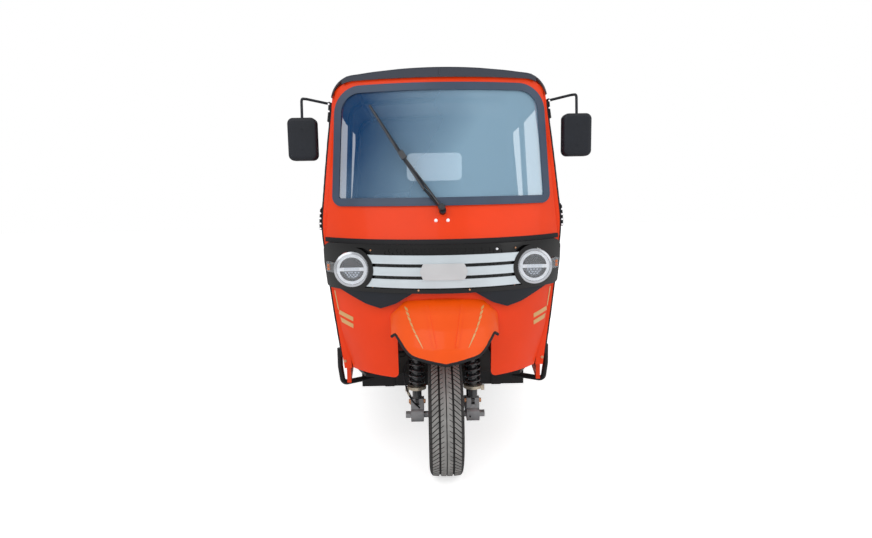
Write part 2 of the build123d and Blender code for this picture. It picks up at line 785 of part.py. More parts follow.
def floor_pan():
    """The ribbed steel floor from the pedals to the passenger bench"""
    plan = plan_outline([(-356, 300), (356, 300), (405, 420), (497, 1150), (545, 1400), (-545, 1400),
                         (-497, 1150), (-405, 420)], [0] * 8, floor_z - floor_wall, floor_z)
    for x in range(-300, 301, 100):
        plan += Pos(x, 860, floor_z) * Box(24, 560, 8)
    hole = Pos(stay_x, stay_y, floor_z) * Cylinder(stay_tube / 2 + 1.5, 100)
    return plan - fused_pair(hole)


def side_sills():
    """Body-coloured sills from the hoop back to the quarter panels"""
    y0, y1 = 165, quarter_front_y - seat_gap
    strip = plan_outline([(424, y0), (500, 1150), (body_half - 58, y1), (body_half - 58 - sill_wall, y1),
                          (500 - sill_wall, 1150), (424 - sill_wall, y0)], [0, 900, 0, 0, 900, 0],
                         body_low_z, body_low_z + sill_high)
    return both(strip)


def wheel_housing():
    """The sheet tunnel round the front wheel, open in front and below"""
    front, wide, wall = arch_half + 4, housing_half, housing_wall

    def room(front_half, half, high_z, back_y, corner):
        """The tunnel's space, wider behind the front edge so that the fork can swing"""
        outline = front_outline([(-half, 430), (half, 430), (half, high_z), (-half, high_z)], [0, 0, corner, corner])
        plan = plan_outline([(-front_half, -200), (front_half, -200), (front_half, 0), (half, 60), (half, back_y),
                             (-half, back_y), (-half, 60), (-front_half, 0)], [0] * 8, 400, 800)
        return outline & plan

    shape = room(front + wall, wide + wall, housing_top_z, housing_back_y, 60)
    hollow = room(front, wide, housing_top_z - wall, housing_back_y - wall, 54)
    bore = steer_frame(head_bottom_z - 60) * Cylinder(head_radius + 3, 500)
    rows = stretched(lower_rows, 400, 800)
    return (shape - hollow - bore) & behind(rows, -cowl_wall - seat_gap)


def dashboard():
    """The shelf under the windscreen with its drop panel, across the cab"""
    profile = side_outline([(-140, dash_top_z), (dash_back_y, dash_top_z), (dash_back_y, dash_low_z),
                            (dash_back_y - dash_wall, dash_low_z), (dash_back_y - dash_wall, dash_top_z - dash_wall),
                            (-140, dash_top_z - dash_wall)], [0, 30, 0, 0, 20, 0], -400, 400)
    rows = stretched(lower_rows[2:] + upper_rows[1:], dash_low_z - 10, dash_top_z + 10)
    return profile & behind(rows, -cowl_wall - seat_gap)


def driver_seat_base():
    """The box under the driver's seat and the two stays of the backrest"""
    box = Pos(0, (seat_front_y + 30 + seat_back_y) / 2, floor_z + 8 + seat_gap) * Box(
        2 * seat_half - 60, seat_back_y - seat_front_y - 30, seat_base_top_z - floor_z - 8 - seat_gap,
        align=(Align.CENTER, Align.CENTER, Align.MIN))
    box = fillet(box.edges().filter_by(Axis.Z), 20)
    lean = tan(radians(back_lean))
    behind_pad = seat_back_y + 4 + back_thick / cos(radians(back_lean)) + 12 + 2 * seat_gap
    low, high = seat_base_top_z - 25, driver_back_low_z + 220
    stay = tube([(150, seat_back_y - 30, low), (150, behind_pad - (driver_back_low_z - low) * lean, low),
                 (150, behind_pad + (high - driver_back_low_z) * lean, high)], 24, 30)
    return box + fused_pair(stay)


def cushion(x_half, y0, y1, z0, z1, corner):
    pad = Pos(0, (y0 + y1) / 2, z0) * Box(2 * x_half, y1 - y0, z1 - z0, align=(Align.CENTER, Align.CENTER, Align.MIN))
    pad = fillet(pad.edges().filter_by(Axis.Z), corner)
    return fillet(pad.faces().sort_by(Axis.Z)[-1].edges(), corner * 0.5)


def backrest(x_half, y, z0, z1, lean, corner):
    pad = Box(2 * x_half, back_thick, z1 - z0, align=(Align.CENTER, Align.MIN, Align.MIN))
    pad = fillet(pad.edges().filter_by(Axis.Y), corner)
    pad = fillet(pad.faces().sort_by(Axis.Y)[0].edges(), back_thick * 0.3)
    return Pos(0, y, z0) * Rot(-lean, 0, 0) * pad


def seat_deck():
    """The folded sheet under the bench that rises to the deck over the engine"""
    y0, y1, y2 = bench_front_y + 14, bench_back_y + 30, rear_panel_y - body_wall - 2
    wall = dash_wall
    return side_outline([(y0, floor_z - 14), (y0, bench_top_z), (y1, bench_top_z), (y1, deck_z), (y2, deck_z),
                         (y2, deck_z - wall), (y1 + wall, deck_z - wall), (y1 + wall, bench_top_z - wall),
                         (y0 + wall, bench_top_z - wall), (y0 + wall, floor_z - 14)], [0] * 10,
                        -well_inner_x + 1, well_inner_x - 1)


# Rear body

def quarter_right():
    """The right side of the tub: outer skin with the wheel arch, rim and inner wheel well"""
    y0, y1 = quarter_front_y, quarter_back_y
    plan = plan_outline([(body_half - 58, y0), (body_half, y0 + 330), (body_half, y1),
                         (body_half - body_wall, y1), (body_half - body_wall, y0 + 330),
                         (body_half - 58 - body_wall, y0)], [0, 700, 0, 0, 700, 0], 0, 1200)
    side = side_outline([(y0, body_low_z), (y1, body_low_z), (y1, body_rim_z), (y0 + 170, body_rim_z),
                         (y0, 800)], [0, 0, 0, 90, 60], 0, 800)
    arch = Pos(0, rear_axle_y, tyre_radius) * Rot(0, 90, 0) * Cylinder(arch_radius, 1600)
    skin_panel = (plan & side) - arch
    x0, x1 = well_inner_x, body_half - body_wall
    tub = Pos(x0, rear_axle_y, tyre_radius) * Rot(0, 90, 0) * Cylinder(
        arch_radius + well_wall, x1 - x0 + 1, align=(Align.CENTER, Align.CENTER, Align.MIN))
    hollow = Pos(x0 + well_wall, rear_axle_y, tyre_radius) * Rot(0, 90, 0) * Cylinder(
        arch_radius, 400, align=(Align.CENTER, Align.CENTER, Align.MIN))
    above = Pos(0, rear_axle_y, body_low_z) * Box(2000, 900, 900, align=(Align.CENTER, Align.CENTER, Align.MIN))
    shaft_way = Pos(x0, rear_axle_y, tyre_radius) * Box(60, 240, 360)
    well = (tub - hollow - shaft_way) & above
    rim = plan_outline([(body_half - 60, y0 + 200), (body_half - 2, y0 + 330), (body_half - 2, y1),
                        (body_half - 60, y1)], [0] * 4, body_rim_z - 16, body_rim_z)
    return skin_panel + well + rim


def rear_panel():
    """The back of the tub, round its corners, with the hatch opening"""
    outer = plan_outline([(-body_half, quarter_back_y + seat_gap), (-body_half, rear_panel_y),
                          (body_half, rear_panel_y), (body_half, quarter_back_y + seat_gap)],
                         [0, rear_corner, rear_corner, 0], 420, body_rim_z)
    inner = plan_outline([(-body_half + body_wall, quarter_back_y - 60), (-body_half + body_wall, rear_panel_y - body_wall),
                          (body_half - body_wall, rear_panel_y - body_wall), (body_half - body_wall, quarter_back_y - 60)],
                         [0, rear_corner - body_wall, rear_corner - body_wall, 0], 300, body_rim_z - 16)
    hatch = front_outline([(-door_half - door_gap, door_low_z - door_gap), (door_half + door_gap, door_low_z - door_gap),
                           (door_half + door_gap, door_high_z + door_gap), (-door_half - door_gap, door_high_z + door_gap)],
                          [20] * 4)
    shelf_hole = plan_outline([(-560, 2100), (560, 2100), (560, 2330), (-560, 2330)], [0, 0, 40, 40], 900, 1100)
    return outer - inner - hatch - shelf_hole


def rear_door():
    """The hatch over the engine bay, on a hinge along its top edge"""
    leaf = front_outline([(-door_half, door_low_z), (door_half, door_low_z), (door_half, door_high_z),
                          (-door_half, door_high_z)], [16] * 4, rear_panel_y - door_wall, rear_panel_y)
    vents = []
    for z in range(560, 761, 40):
        vents.append(Pos(0, rear_panel_y, z) * Box(420, 60, 14))
    for vent in vents:
        leaf -= vent
    knuckle = Pos(0, hinge_y(), hinge_z()) * Rot(0, 90, 0) * Cylinder(hinge_radius, 90)
    flap = Pos(0, rear_panel_y + 1, hinge_z()) * Box(90, 6, 62, align=(Align.CENTER, Align.MIN, Align.MAX))
    flap += Pos(0, rear_panel_y - 1, door_high_z - 6) * Box(90, 4, 46, align=(Align.CENTER, Align.MIN, Align.MAX))
    for x in (-260, 260):
        leaf += Pos(x, 0, 0) * (knuckle + flap)
    handle = Pos(0, rear_panel_y + 8, door_low_z + 40) * Box(110, 20, 22)
    return leaf + handle


def hinge_y():
    return rear_panel_y + hinge_radius + 1


def hinge_z():
    return door_high_z + door_gap + 4


def rear_hinges():
    """The fixed hinge knuckles on the rear panel, either side of the moving ones"""
    pieces = []
    for x in (-260, 260):
        for side in (-1, 1):
            spot = Pos(x + side * 60.3, hinge_y(), hinge_z())
            knuckle = spot * Rot(0, 90, 0) * Cylinder(hinge_radius, 30)
            plate = spot * Box(30, hinge_radius + 1, 40, align=(Align.CENTER, Align.MAX, Align.MIN))
            pieces += (knuckle + plate).solids()
    return Compound(children=pieces)


def rear_bumper():
    """A tube across the back with two brackets"""
    end = body_half - 90
    bar = tube([(-end, 2300, bumper_z), (-end + 40, bumper_y, bumper_z), (end - 40, bumper_y, bumper_z),
                (end, 2300, bumper_z)], bumper_tube, 60)
    bracket_x = rail_x
    stay = tube([(bracket_x, rail_back_y + 1, rail_low() + 31), (bracket_x, rail_back_y + 36, rail_low() + 34),
                 (bracket_x, bumper_y, bumper_z)], 24, 28)
    return bar + fused_pair(stay)


def tail_lamps():
    lamp = Pos(530, rear_panel_y + seat_gap, 690) * Box(90, 18, 170, align=(Align.CENTER, Align.MIN, Align.CENTER))
    return both(fillet(lamp.edges().filter_by(Axis.Y), 14))


# Soft top

def top_section(row, inset):
    """One cross section of the soft top, drawn inwards by inset"""
    y, rim_half, shoulder_half, top = row
    low = body_rim_z - 60
    a, b, ridge = rim_half - inset, shoulder_half - inset, top - inset
    points = [(-a, y, low), (-b, y, ridge - shoulder_drop), (0, y, ridge), (b, y, ridge - shoulder_drop), (a, y, low)]
    corner = shoulder_radius - inset
    return make_face(FilletPolyline(*points, radius=[0, corner, ridge_radius, corner, 0], close=True))


def top_body(inset):
    back = rear_panel_y + 10 - inset
    outside = loft([top_section(row, inset) for row in top_rows], ruled=True)
    shape = side_outline([(0, 900), (back - 6, 900), (back - 92, 1760 - inset), (0, 1760 - inset)],
                         [0, 0, rear_top_radius, 0], -800, 800)
    cap = side_outline([(0, 900), (back - 20, 900), (back - 24, 1040), (back - 82, top_rows[-1][3] + 22 - inset),
                        (0, top_rows[-1][3] + 60 - inset)], [0, 0, 60, rear_top_radius, 0], -800, 800)
    return outside & shape & cap


def hoop_seat():
    """The space that the hoop takes, with its gap"""
    return hoop_outline(2 * seat_gap, 300) & hoop_side(-40, hoop_depth + 40 + 2 * seat_gap)


def canopy():
    """The soft top: roof, side valances, rear quarters and back wall in one closed shell"""
    shell = top_body(0) - top_body(top_wall)
    rows = stretched(upper_rows, 930, 1720)
    shell = shell & behind(widened(rows, 60), visor_proud - visor_deep - seat_gap)
    openings = side_outline([(-400, 600), (side_open_back_y, 600), (side_open_back_y, side_open_z),
                             (-400, side_open_z)], [0, 0, 90, 0], -900, 900)
    shell -= openings
    shell -= Box(4000, 8000, 2 * (body_rim_z + seat_gap))
    window = front_outline([(-window_half, window_low_z), (window_half, window_low_z), (window_half, window_high_z),
                            (-window_half, window_high_z)], [40] * 4, y0=2100)
    return shell - window - hoop_seat()


def visor():
    """The stiff front edge of the soft top, over the head of the cowl"""
    rows = widened(stretched(upper_rows, 1440, 1720), 60)
    band = skin(rows, visor_proud, visor_deep)
    outside = Pos(0, -600, 0) * extrude(top_section((0, *top_rows[0][1:]), 0), amount=3000, dir=(0, 1, 0))
    lowest = front_outline([(-700, side_open_z - 2), (700, side_open_z - 2), (700, 1800), (-700, 1800)], [0] * 4)
    return (band & outside & lowest) - cowl_top_outline(seat_gap) - hoop_seat()


def rear_window():
    rows = front_outline([(-window_half + seat_gap, window_low_z + seat_gap), (window_half - seat_gap, window_low_z + seat_gap),
                          (window_half - seat_gap, window_high_z - seat_gap), (-window_half + seat_gap, window_high_z - seat_gap)],
                         [40] * 4, y0=2100)
    return (top_body(2) - top_body(6)) & rows


def top_frame():
    """The tube hoops that carry the soft top, with roof rails and the bars behind the driver"""
    inset = top_wall + hoop_tube / 2 + 1
    corner = shoulder_radius - inset
    frame = None
    for y, foot_z, foot_in in ((b_hoop_y, floor_z, 75), (c_hoop_y, body_rim_z, 0)):
        a, b, ridge = section_at(y)
        rim_z = body_rim_z - 60
        side = [(b, ridge - shoulder_drop), (a, rim_z)]
        if foot_in:
            side.append((a - foot_in, foot_z - 20))
        arch = [(-x + inset, y, z) for x, z in reversed(side)]
        arch = [(x, y, min(z, ridge - shoulder_drop - inset)) for x, y, z in arch]
        arch.append((0, y, ridge - inset))
        arch += [(-x, y, z) for x, y, z in reversed(arch[:-1])]
        knees = [160] if foot_in else []
        hoop = tube(arch, hoop_tube, knees + [corner, ridge_radius, corner] + knees)
        below = Box(3000, 200, 600, align=(Align.CENTER, Align.CENTER, Align.MAX))
        hoop -= Pos(0, y, foot_z + seat_gap) * below
        frame = hoop if frame is None else frame + hoop
    rail = tube([(360, 282, 1622), (410, b_hoop_y, 1645), (430, c_hoop_y, 1636)], 20, 200)
    frame += fused_pair(rail)
    a, b, ridge = section_at(b_hoop_y)
    for z in (780, 960):
        frame += tube([(-a + inset + 4, b_hoop_y, z), (a - inset - 4, b_hoop_y, z)], 22, 0)
    return frame


def section_at(y):
    for p, q in zip(top_rows, top_rows[1:]):
        if p[0] <= y <= q[0]:
            share = (y - p[0]) / (q[0] - p[0])
            return tuple(u + (v - u) * share for u, v in zip(p[1:], q[1:]))


# Engine and running gear

def engine_block():
    block = Pos(0, (engine_front_y + engine_back_y) / 2, engine_low_z) * Box(
        2 * engine_half, engine_back_y - engine_front_y, engine_high_z - engine_low_z,
        align=(Align.CENTER, Align.CENTER, Align.MIN))
    return fillet(block.edges().filter_by(Axis.Y), 24)


def trailing_arms():
    """The arms that carry the rear wheels, with bushes, shock seats, hub carriers and stub axles"""
    bush_y = arm_cross_y + cross_deep / 2 + 26 + seat_gap
    bush = Pos(330, bush_y, 278) * Rot(0, 90, 0) * Cylinder(26, 64)
    arm = tube([(330, bush_y, 278), (400, 1760, 232), (carrier_x, rear_axle_y - 20, tyre_radius)], 46, 220)
    seat = Pos(shock_x, shock_y, shock_low_z - seat_gap) * Box(
        50, 50, 60, align=(Align.CENTER, Align.CENTER, Align.MAX))
    carrier = Pos(carrier_x, rear_axle_y, tyre_radius) * Rot(0, 90, 0) * Cylinder(46, 2 * carrier_half)
    stub = Pos(carrier_x, rear_axle_y, tyre_radius) * Rot(0, 90, 0) * Cylinder(
        stub_radius, rear_track / 2 - carrier_x + 30, align=(Align.CENTER, Align.CENTER, Align.MIN))
    return both(bush + arm + seat + carrier + stub)


def drive_shafts():
    """The half shafts from the engine to the hub carriers"""
    length = carrier_x - carrier_half - engine_half - 2 * seat_gap
    shaft = Pos(engine_half + seat_gap, rear_axle_y + 8, shaft_z) * Rot(0, 90, 0) * Cylinder(
        13, length, align=(Align.CENTER, Align.CENTER, Align.MIN))
    boot = Pos(engine_half + seat_gap, rear_axle_y + 8, shaft_z - 2) * Rot(0, 90, 0) * Cone(
        34, 16, 70, align=(Align.CENTER, Align.CENTER, Align.MIN))
    under = Pos(0, 0, rail_low() - 1) * Box(2000, 6000, 400, align=(Align.CENTER, Align.CENTER, Align.MIN))
    return both(shaft + boot - under)


def rear_shocks():
    """Coil-over dampers between the arms and the pan under the bench"""
    low, high = shock_low_z, bench_top_z - dash_wall - seat_gap
    body = Pos(shock_x, shock_y, low) * Cylinder(20, high - low, align=(Align.CENTER, Align.CENTER, Align.MIN))
    spring = coil(44, 12, 6, low + 12, high - 12, shock_x, shock_y)
    ends = Pos(shock_x, shock_y, low + 6) * Cylinder(46, 8) + Pos(shock_x, shock_y, high - 6) * Cylinder(46, 8)
    return both(body + spring + ends)


def exhaust():
    """The silencer across the back with its hangers and the pipe from the engine"""
    r = 50
    y = back_cross_y + cross_deep / 2 + r + 8
    drum = Pos(0, y, 250) * Rot(0, 90, 0) * Cylinder(r, 360)
    drum = fillet(drum.edges(), 12)
    hangers = Pos(110, back_cross_y + cross_deep / 2 + seat_gap, 270) * Box(
        30, 14, 30, align=(Align.CENTER, Align.MIN, Align.CENTER))
    tail = tube([(150, y, 250), (230, y, 250), (230, y + 60, 225)], 32, 40)
    return drum + fused_pair(hangers) + tail


def side_guards():
    """Bent tubes at the feet of the hoop"""
    return both(tube(
        [(330, 342, floor_z - floor_wall - 12 - seat_gap), (456, 262, floor_z - floor_wall - 12 - seat_gap),
         (464, 250, 385), (464, 250, 470)], 24, 26))


def place(shape):
    return Pos(0, -centre_y, 0) * shape


front_wheel_spot = Pos(0, 0, tyre_radius)
right_wheel_spot = Pos(rear_track / 2, rear_axle_y, tyre_radius)
left_wheel_spot = Pos(-rear_track / 2, rear_axle_y, tyre_radius) * Rot(0, 0, 180)

nodes = {
    "chassis_frame": chassis_frame,
    "floor_pan": floor_pan,
    "side_sills": side_sills,
    "wheel_housing": wheel_housing,
    "cowl_lower": cowl_lower,
    "cowl_upper": cowl_upper,
    "nose_mudguard": nose,
    "windscreen_seal": windscreen_seal,
    "windscreen_glass": windscreen_glass,
    "front_hoop": front_hoop,
    "body_trim": body_trim,
    "grille_panel": grille_panel,
    "grille_skirts": grille_skirts,
    "grille_mesh": grille_mesh,
    "grille_bars": grille_bars,
    "badge_plate": badge_plate,
    "headlamp_right": headlamp,
    "headlamp_left": lambda: mirror(headlamp(), about=Plane.YZ),
    "lamp_lenses": lamp_lenses,
    "turn_signals": turn_signals,
    "wiper": wiper,
    "mirror_right": mirror_right,
    "mirror_left": lambda: mirror(mirror_right(), about=Plane.YZ),
    "pillar_plates": pillar_plates,
    "side_guards": side_guards,
    "dashboard": dashboard,
    "driver_seat_base": driver_seat_base,
    "driver_cushion": lambda: cushion(seat_half, seat_front_y, seat_back_y, seat_base_top_z + seat_gap,
                                      seat_base_top_z + cushion_high, 40),
    "driver_backrest": lambda: backrest(seat_half, seat_back_y + 4, driver_back_low_z, driver_back_top_z,
                                        back_lean, 60),
    "seat_deck": seat_deck,
    "bench_cushion": lambda: cushion(bench_half, bench_front_y, bench_back_y, bench_top_z + seat_gap,
                                     bench_top_z + bench_cushion_high, 40),
    "bench_backrest": lambda: backrest(bench_half, bench_back_y - 28, bench_top_z + bench_cushion_high + 2,
                                       bench_back_top_z, bench_back_lean, 60),
    "quarter_panel_right": quarter_right,
    "quarter_panel_left": lambda: mirror(quarter_right(), about=Plane.YZ),
    "rear_panel": rear_panel,
    "rear_hinges": rear_hinges,
    "rear_bumper": rear_bumper,
    "tail_lamps": tail_lamps,
    "top_frame": top_frame,
    "canopy": canopy,
    "visor": visor,
    "rear_window": rear_window,
    "engine_block": engine_block,
    "exhaust": exhaust,
    "trailing_arms": trailing_arms,
    "drive_shafts": drive_shafts,
    "rear_shocks": rear_shocks,
    "handlebar": handlebar,
    "front_fork": front_fork,
    "knuckle_arms": knuckle_arms,
    "front_shocks": front_shocks,
    "front_tyre": lambda: front_wheel_spot * tyre(),
    "front_rim": lambda: front_wheel_spot * rim(0),
    "rear_tyre_right": lambda: right_wheel_spot * tyre(),
    "rear_rim_right": lambda: right_wheel_spot * rim(24),
    "rear_tyre_left": lambda: left_wheel_spot * tyre(),
    "rear_rim_left": lambda: left_wheel_spot * rim(24),
    "rear_door": rear_door,
}

os.makedirs("parts", exist_ok=True)
for name, make in nodes.items():
    export_step(place(make()), f"parts/{name}.step")
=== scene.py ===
import math

import bmesh
import bpy
from mathutils import Matrix, Vector
from mathutils.bvhtree import BVHTree


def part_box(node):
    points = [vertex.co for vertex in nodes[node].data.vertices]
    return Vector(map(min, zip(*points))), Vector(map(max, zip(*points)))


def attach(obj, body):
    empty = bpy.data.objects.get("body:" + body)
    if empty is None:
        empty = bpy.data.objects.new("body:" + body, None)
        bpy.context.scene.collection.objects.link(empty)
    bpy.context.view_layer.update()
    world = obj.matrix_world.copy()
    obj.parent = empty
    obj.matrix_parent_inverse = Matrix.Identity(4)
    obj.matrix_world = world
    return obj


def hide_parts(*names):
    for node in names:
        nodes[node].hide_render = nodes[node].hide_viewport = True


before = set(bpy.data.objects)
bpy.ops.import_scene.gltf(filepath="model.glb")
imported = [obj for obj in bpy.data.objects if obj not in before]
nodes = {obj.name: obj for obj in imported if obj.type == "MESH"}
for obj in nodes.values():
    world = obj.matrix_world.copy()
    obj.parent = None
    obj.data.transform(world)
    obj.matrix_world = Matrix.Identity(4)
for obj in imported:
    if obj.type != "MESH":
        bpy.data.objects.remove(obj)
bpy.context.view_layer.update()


# Places, in metres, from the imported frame

def centre(node):
    low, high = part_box(node)
    return [(a + b) / 2 for a, b in zip(low, high)]


tyre_low, tyre_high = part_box("front_tyre")
AXLE_Y = centre("front_tyre")[1]
TYRE_RADIUS = (tyre_high[2] - tyre_low[2]) / 2
TYRE_HALF = (tyre_high[0] - tyre_low[0]) / 2
AHEAD = 1.2     # how far in front of the axle the rays start that look for a surface


def back(y):
    """A distance behind the front axle, as a place in the frame"""
    return AXLE_Y + y


# Materials

def srgb(r, g, b):
    """A colour given as it looks on a screen, 0 to 255, as a linear colour"""
    def linear(c):
        c /= 255
        return c / 12.92 if c <= 0.04045 else ((c + 0.055) / 1.055) ** 2.4
    return (linear(r), linear(g), linear(b), 1)


def new_material(name):
    mat = bpy.data.materials.new(name)
    mat.use_nodes = True
    return mat, mat.node_tree.nodes, mat.node_tree.links, mat.node_tree.nodes["Principled BSDF"]


# A pale warm grey that faces looking up are mixed towards
UPWARD_PALE = srgb(176, 168, 158)


def textured(name, colour, roughness, metallic=0.0, variation=0.06, scale=9.0, bump=0.0, bump_scale=400.0,
             coat=0.0, specular=0.5, rough_variation=0.08, sheen=0.0, upward_pale=0.0, glow=0.0):
    """A finish with soft mottling of colour and gloss, and a fine bump"""
    mat, tree, links, bsdf = new_material(name)
    place = tree.new("ShaderNodeTexCoord")
    mottle = tree.new("ShaderNodeTexNoise")
    mottle.inputs["Scale"].default_value = scale
    mottle.inputs["Detail"].default_value = 6
    links.new(place.outputs["Object"], mottle.inputs["Vector"])
    ramp = tree.new("ShaderNodeValToRGB")
    dark = [c * (1 - variation) for c in colour[:3]] + [1]
    light = [min(1, c * (1 + variation)) for c in colour[:3]] + [1]
    ramp.color_ramp.elements[0].position = 0.32
    ramp.color_ramp.elements[1].position = 0.68
    ramp.color_ramp.elements[0].color = dark
    ramp.color_ramp.elements[1].color = light
    links.new(mottle.outputs["Fac"], ramp.inputs["Fac"])
    out = ramp.outputs["Color"]
    # Faces that look up are made paler, mixed towards a pale warm grey by the given share
    if upward_pale:
        geometry = tree.new("ShaderNodeNewGeometry")
        split = tree.new("ShaderNodeSeparateXYZ")
        links.new(geometry.outputs["Normal"], split.inputs["Vector"])
        upward = tree.new("ShaderNodeMapRange")
        upward.inputs["From Min"].default_value = 0.2
        upward.inputs["From Max"].default_value = 1.0
        upward.inputs["To Max"].default_value = upward_pale
        links.new(split.outputs["Z"], upward.inputs["Value"])
        mix = tree.new("ShaderNodeMix")
        mix.data_type = "RGBA"
        mix.inputs["B"].default_value = UPWARD_PALE
        links.new(upward.outputs["Result"], mix.inputs["Factor"])
        links.new(out, mix.inputs["A"])
        out = mix.outputs["Result"]
    links.new(out, bsdf.inputs["Base Color"])
    gloss = tree.new("ShaderNodeMapRange")
    gloss.inputs["To Min"].default_value = max(0.02, roughness - rough_variation)
    gloss.inputs["To Max"].default_value = min(1.0, roughness + rough_variation)
    links.new(mottle.outputs["Fac"], gloss.inputs["Value"])
    links.new(gloss.outputs["Result"], bsdf.inputs["Roughness"])
    bsdf.inputs["Metallic"].default_value = metallic
    bsdf.inputs["Specular IOR Level"].default_value = specular
    bsdf.inputs["Coat Weight"].default_value = coat
    bsdf.inputs["Coat Roughness"].default_value = 0.04
    bsdf.inputs["Sheen Weight"].default_value = sheen
    # Emission, which makes a finish shine by itself
    if glow:
        bsdf.inputs["Emission Color"].default_value = (1, 1, 1, 1)
        bsdf.inputs["Emission Strength"].default_value = glow
    if bump:
        grain = tree.new("ShaderNodeTexNoise")
        grain.inputs["Scale"].default_value = bump_scale
        grain.inputs["Detail"].default_value = 3
        links.new(place.outputs["Object"], grain.inputs["Vector"])
        lift = tree.new("ShaderNodeBump")
        lift.inputs["Strength"].default_value = bump
        lift.inputs["Distance"].default_value = 0.001
        links.new(grain.outputs["Fac"], lift.inputs["Height"])
        links.new(lift.outputs["Normal"], bsdf.inputs["Normal"])
    return mat


def glassy(name, colour, transmission, roughness=0.02):
    """Glass with faint streaks in its gloss"""
    mat, tree, links, bsdf = new_material(name)
    place = tree.new("ShaderNodeTexCoord")
    streak = tree.new("ShaderNodeTexNoise")
    streak.inputs["Scale"].default_value = 3.0
    streak.inputs["Detail"].default_value = 4
    links.new(place.outputs["Object"], streak.inputs["Vector"])
    gloss = tree.new("ShaderNodeMapRange")
    gloss.inputs["To Min"].default_value = roughness
    gloss.inputs["To Max"].default_value = roughness + 0.05
    links.new(streak.outputs["Fac"], gloss.inputs["Value"])
    links.new(gloss.outputs["Result"], bsdf.inputs["Roughness"])
    bsdf.inputs["Base Color"].default_value = colour
    bsdf.inputs["Transmission Weight"].default_value = transmission
    bsdf.inputs["IOR"].default_value = 1.5
    return mat


def tinted_screen():
    """A blue-tinted windscreen that lets half the light through, with painted reflection: darker on the left, paler
    on the right and paler low down
    """
    half_width = 0.42
    reflection_from_z, reflection_to_z, reflection_lift = 1.45, 1.12, 0.22
    dark_blue, pale_blue = srgb(30, 78, 128), srgb(170, 208, 232)
    mat, tree, links, bsdf = new_material("screen_glass")
    place = tree.new("ShaderNodeTexCoord")
    split = tree.new("ShaderNodeSeparateXYZ")
    cloud = tree.new("ShaderNodeTexNoise")
    cloud.inputs["Scale"].default_value = 2.2
    cloud.inputs["Detail"].default_value = 3
    links.new(place.outputs["Object"], split.inputs["Vector"])
    links.new(place.outputs["Object"], cloud.inputs["Vector"])
    # Darker on the left and paler on the right, streaked by the noise: painted reflection
    across = tree.new("ShaderNodeMapRange")
    across.inputs["From Min"].default_value = -half_width
    across.inputs["From Max"].default_value = half_width
    links.new(split.outputs["X"], across.inputs["Value"])
    drift = tree.new("ShaderNodeMath")
    drift.operation = "MULTIPLY_ADD"
    drift.inputs[1].default_value = 0.5
    links.new(cloud.outputs["Fac"], drift.inputs[0])
    links.new(across.outputs["Result"], drift.inputs[2])
    # Paler low down: painted reflection
    down = tree.new("ShaderNodeMapRange")
    down.inputs["From Min"].default_value = reflection_from_z
    down.inputs["From Max"].default_value = reflection_to_z
    down.inputs["To Max"].default_value = reflection_lift
    links.new(split.outputs["Z"], down.inputs["Value"])
    both_ways = tree.new("ShaderNodeMath")
    links.new(drift.outputs[0], both_ways.inputs[0])
    links.new(down.outputs["Result"], both_ways.inputs[1])
    ramp = tree.new("ShaderNodeValToRGB")
    ramp.color_ramp.elements[0].position = 0.35
    ramp.color_ramp.elements[0].color = dark_blue
    ramp.color_ramp.elements[1].position = 1.0
    ramp.color_ramp.elements[1].color = pale_blue
    links.new(both_ways.outputs[0], ramp.inputs["Fac"])
    links.new(ramp.outputs["Color"], bsdf.inputs["Base Color"])
    bsdf.inputs["Roughness"].default_value = 0.04
    bsdf.inputs["Specular IOR Level"].default_value = 0.08
    bsdf.inputs["Alpha"].default_value = 0.44
    return mat


paint = textured("body_orange", srgb(246, 64, 8), 0.42, variation=0.05, scale=4, coat=0.12, specular=0.22,
                 bump=0.03, bump_scale=900, rough_variation=0.04)
nose_paint = textured("nose_orange", srgb(255, 88, 6), 0.4, variation=0.04, scale=5, coat=0.16, specular=0.25,
                      bump=0.03, bump_scale=700, rough_variation=0.04)
black_gloss = textured("black_gloss", srgb(9, 9, 11), 0.22, variation=0.2, coat=0.35, bump=0.03, specular=0.3,
                       upward_pale=0.03)
black_plastic = textured("black_plastic", srgb(26, 30, 38), 0.5, variation=0.15, bump=0.35, bump_scale=1100,
                         specular=0.35, upward_pale=0.04)
black_rubber = textured("black_rubber", srgb(26, 26, 30), 0.6, variation=0.18, bump=0.25, bump_scale=700,
                        specular=0.3, upward_pale=0.04)
seal_rubber = textured("seal_rubber", srgb(56, 72, 94), 0.45, variation=0.12, bump=0.18, bump_scale=500)
black_metal = textured("black_metal", srgb(20, 20, 23), 0.42, variation=0.2, bump=0.2, bump_scale=500,
                       specular=0.35, upward_pale=0.08)
# The black springs coloured dark grey, lighter than their black, as painted highlight on the coils; the coat is their
# real gloss
spring_painted_highlight = textured("spring_painted_highlight", srgb(46, 46, 49), 0.3, variation=0.15, coat=0.7, bump=0.1, bump_scale=500)
bar_silver = textured("bar_silver", srgb(214, 224, 230), 0.3, metallic=0.35, variation=0.04, coat=0.5,
                      bump=0.04, bump_scale=900)
plate_silver = textured("plate_silver", srgb(212, 213, 215), 0.36, metallic=0.3, variation=0.04, bump=0.05)
cast_alloy = textured("cast_alloy", srgb(150, 150, 152), 0.5, metallic=0.7, variation=0.14, scale=30,
                      bump=0.6, bump_scale=320)
bolt_steel = textured("bolt_steel", srgb(196, 186, 168), 0.38, metallic=0.8, variation=0.2, scale=60, bump=0.2)
chrome = textured("lamp_bowl", srgb(205, 208, 214), 0.14, metallic=0.95, variation=0.04, bump=0.03)
lamp_grey = textured("lamp_grey", srgb(110, 114, 120), 0.3, metallic=0.5, variation=0.1, bump=0.1)
bolt_copper = textured("bolt_copper", srgb(214, 158, 120), 0.35, metallic=0.7, variation=0.15, bump=0.1)
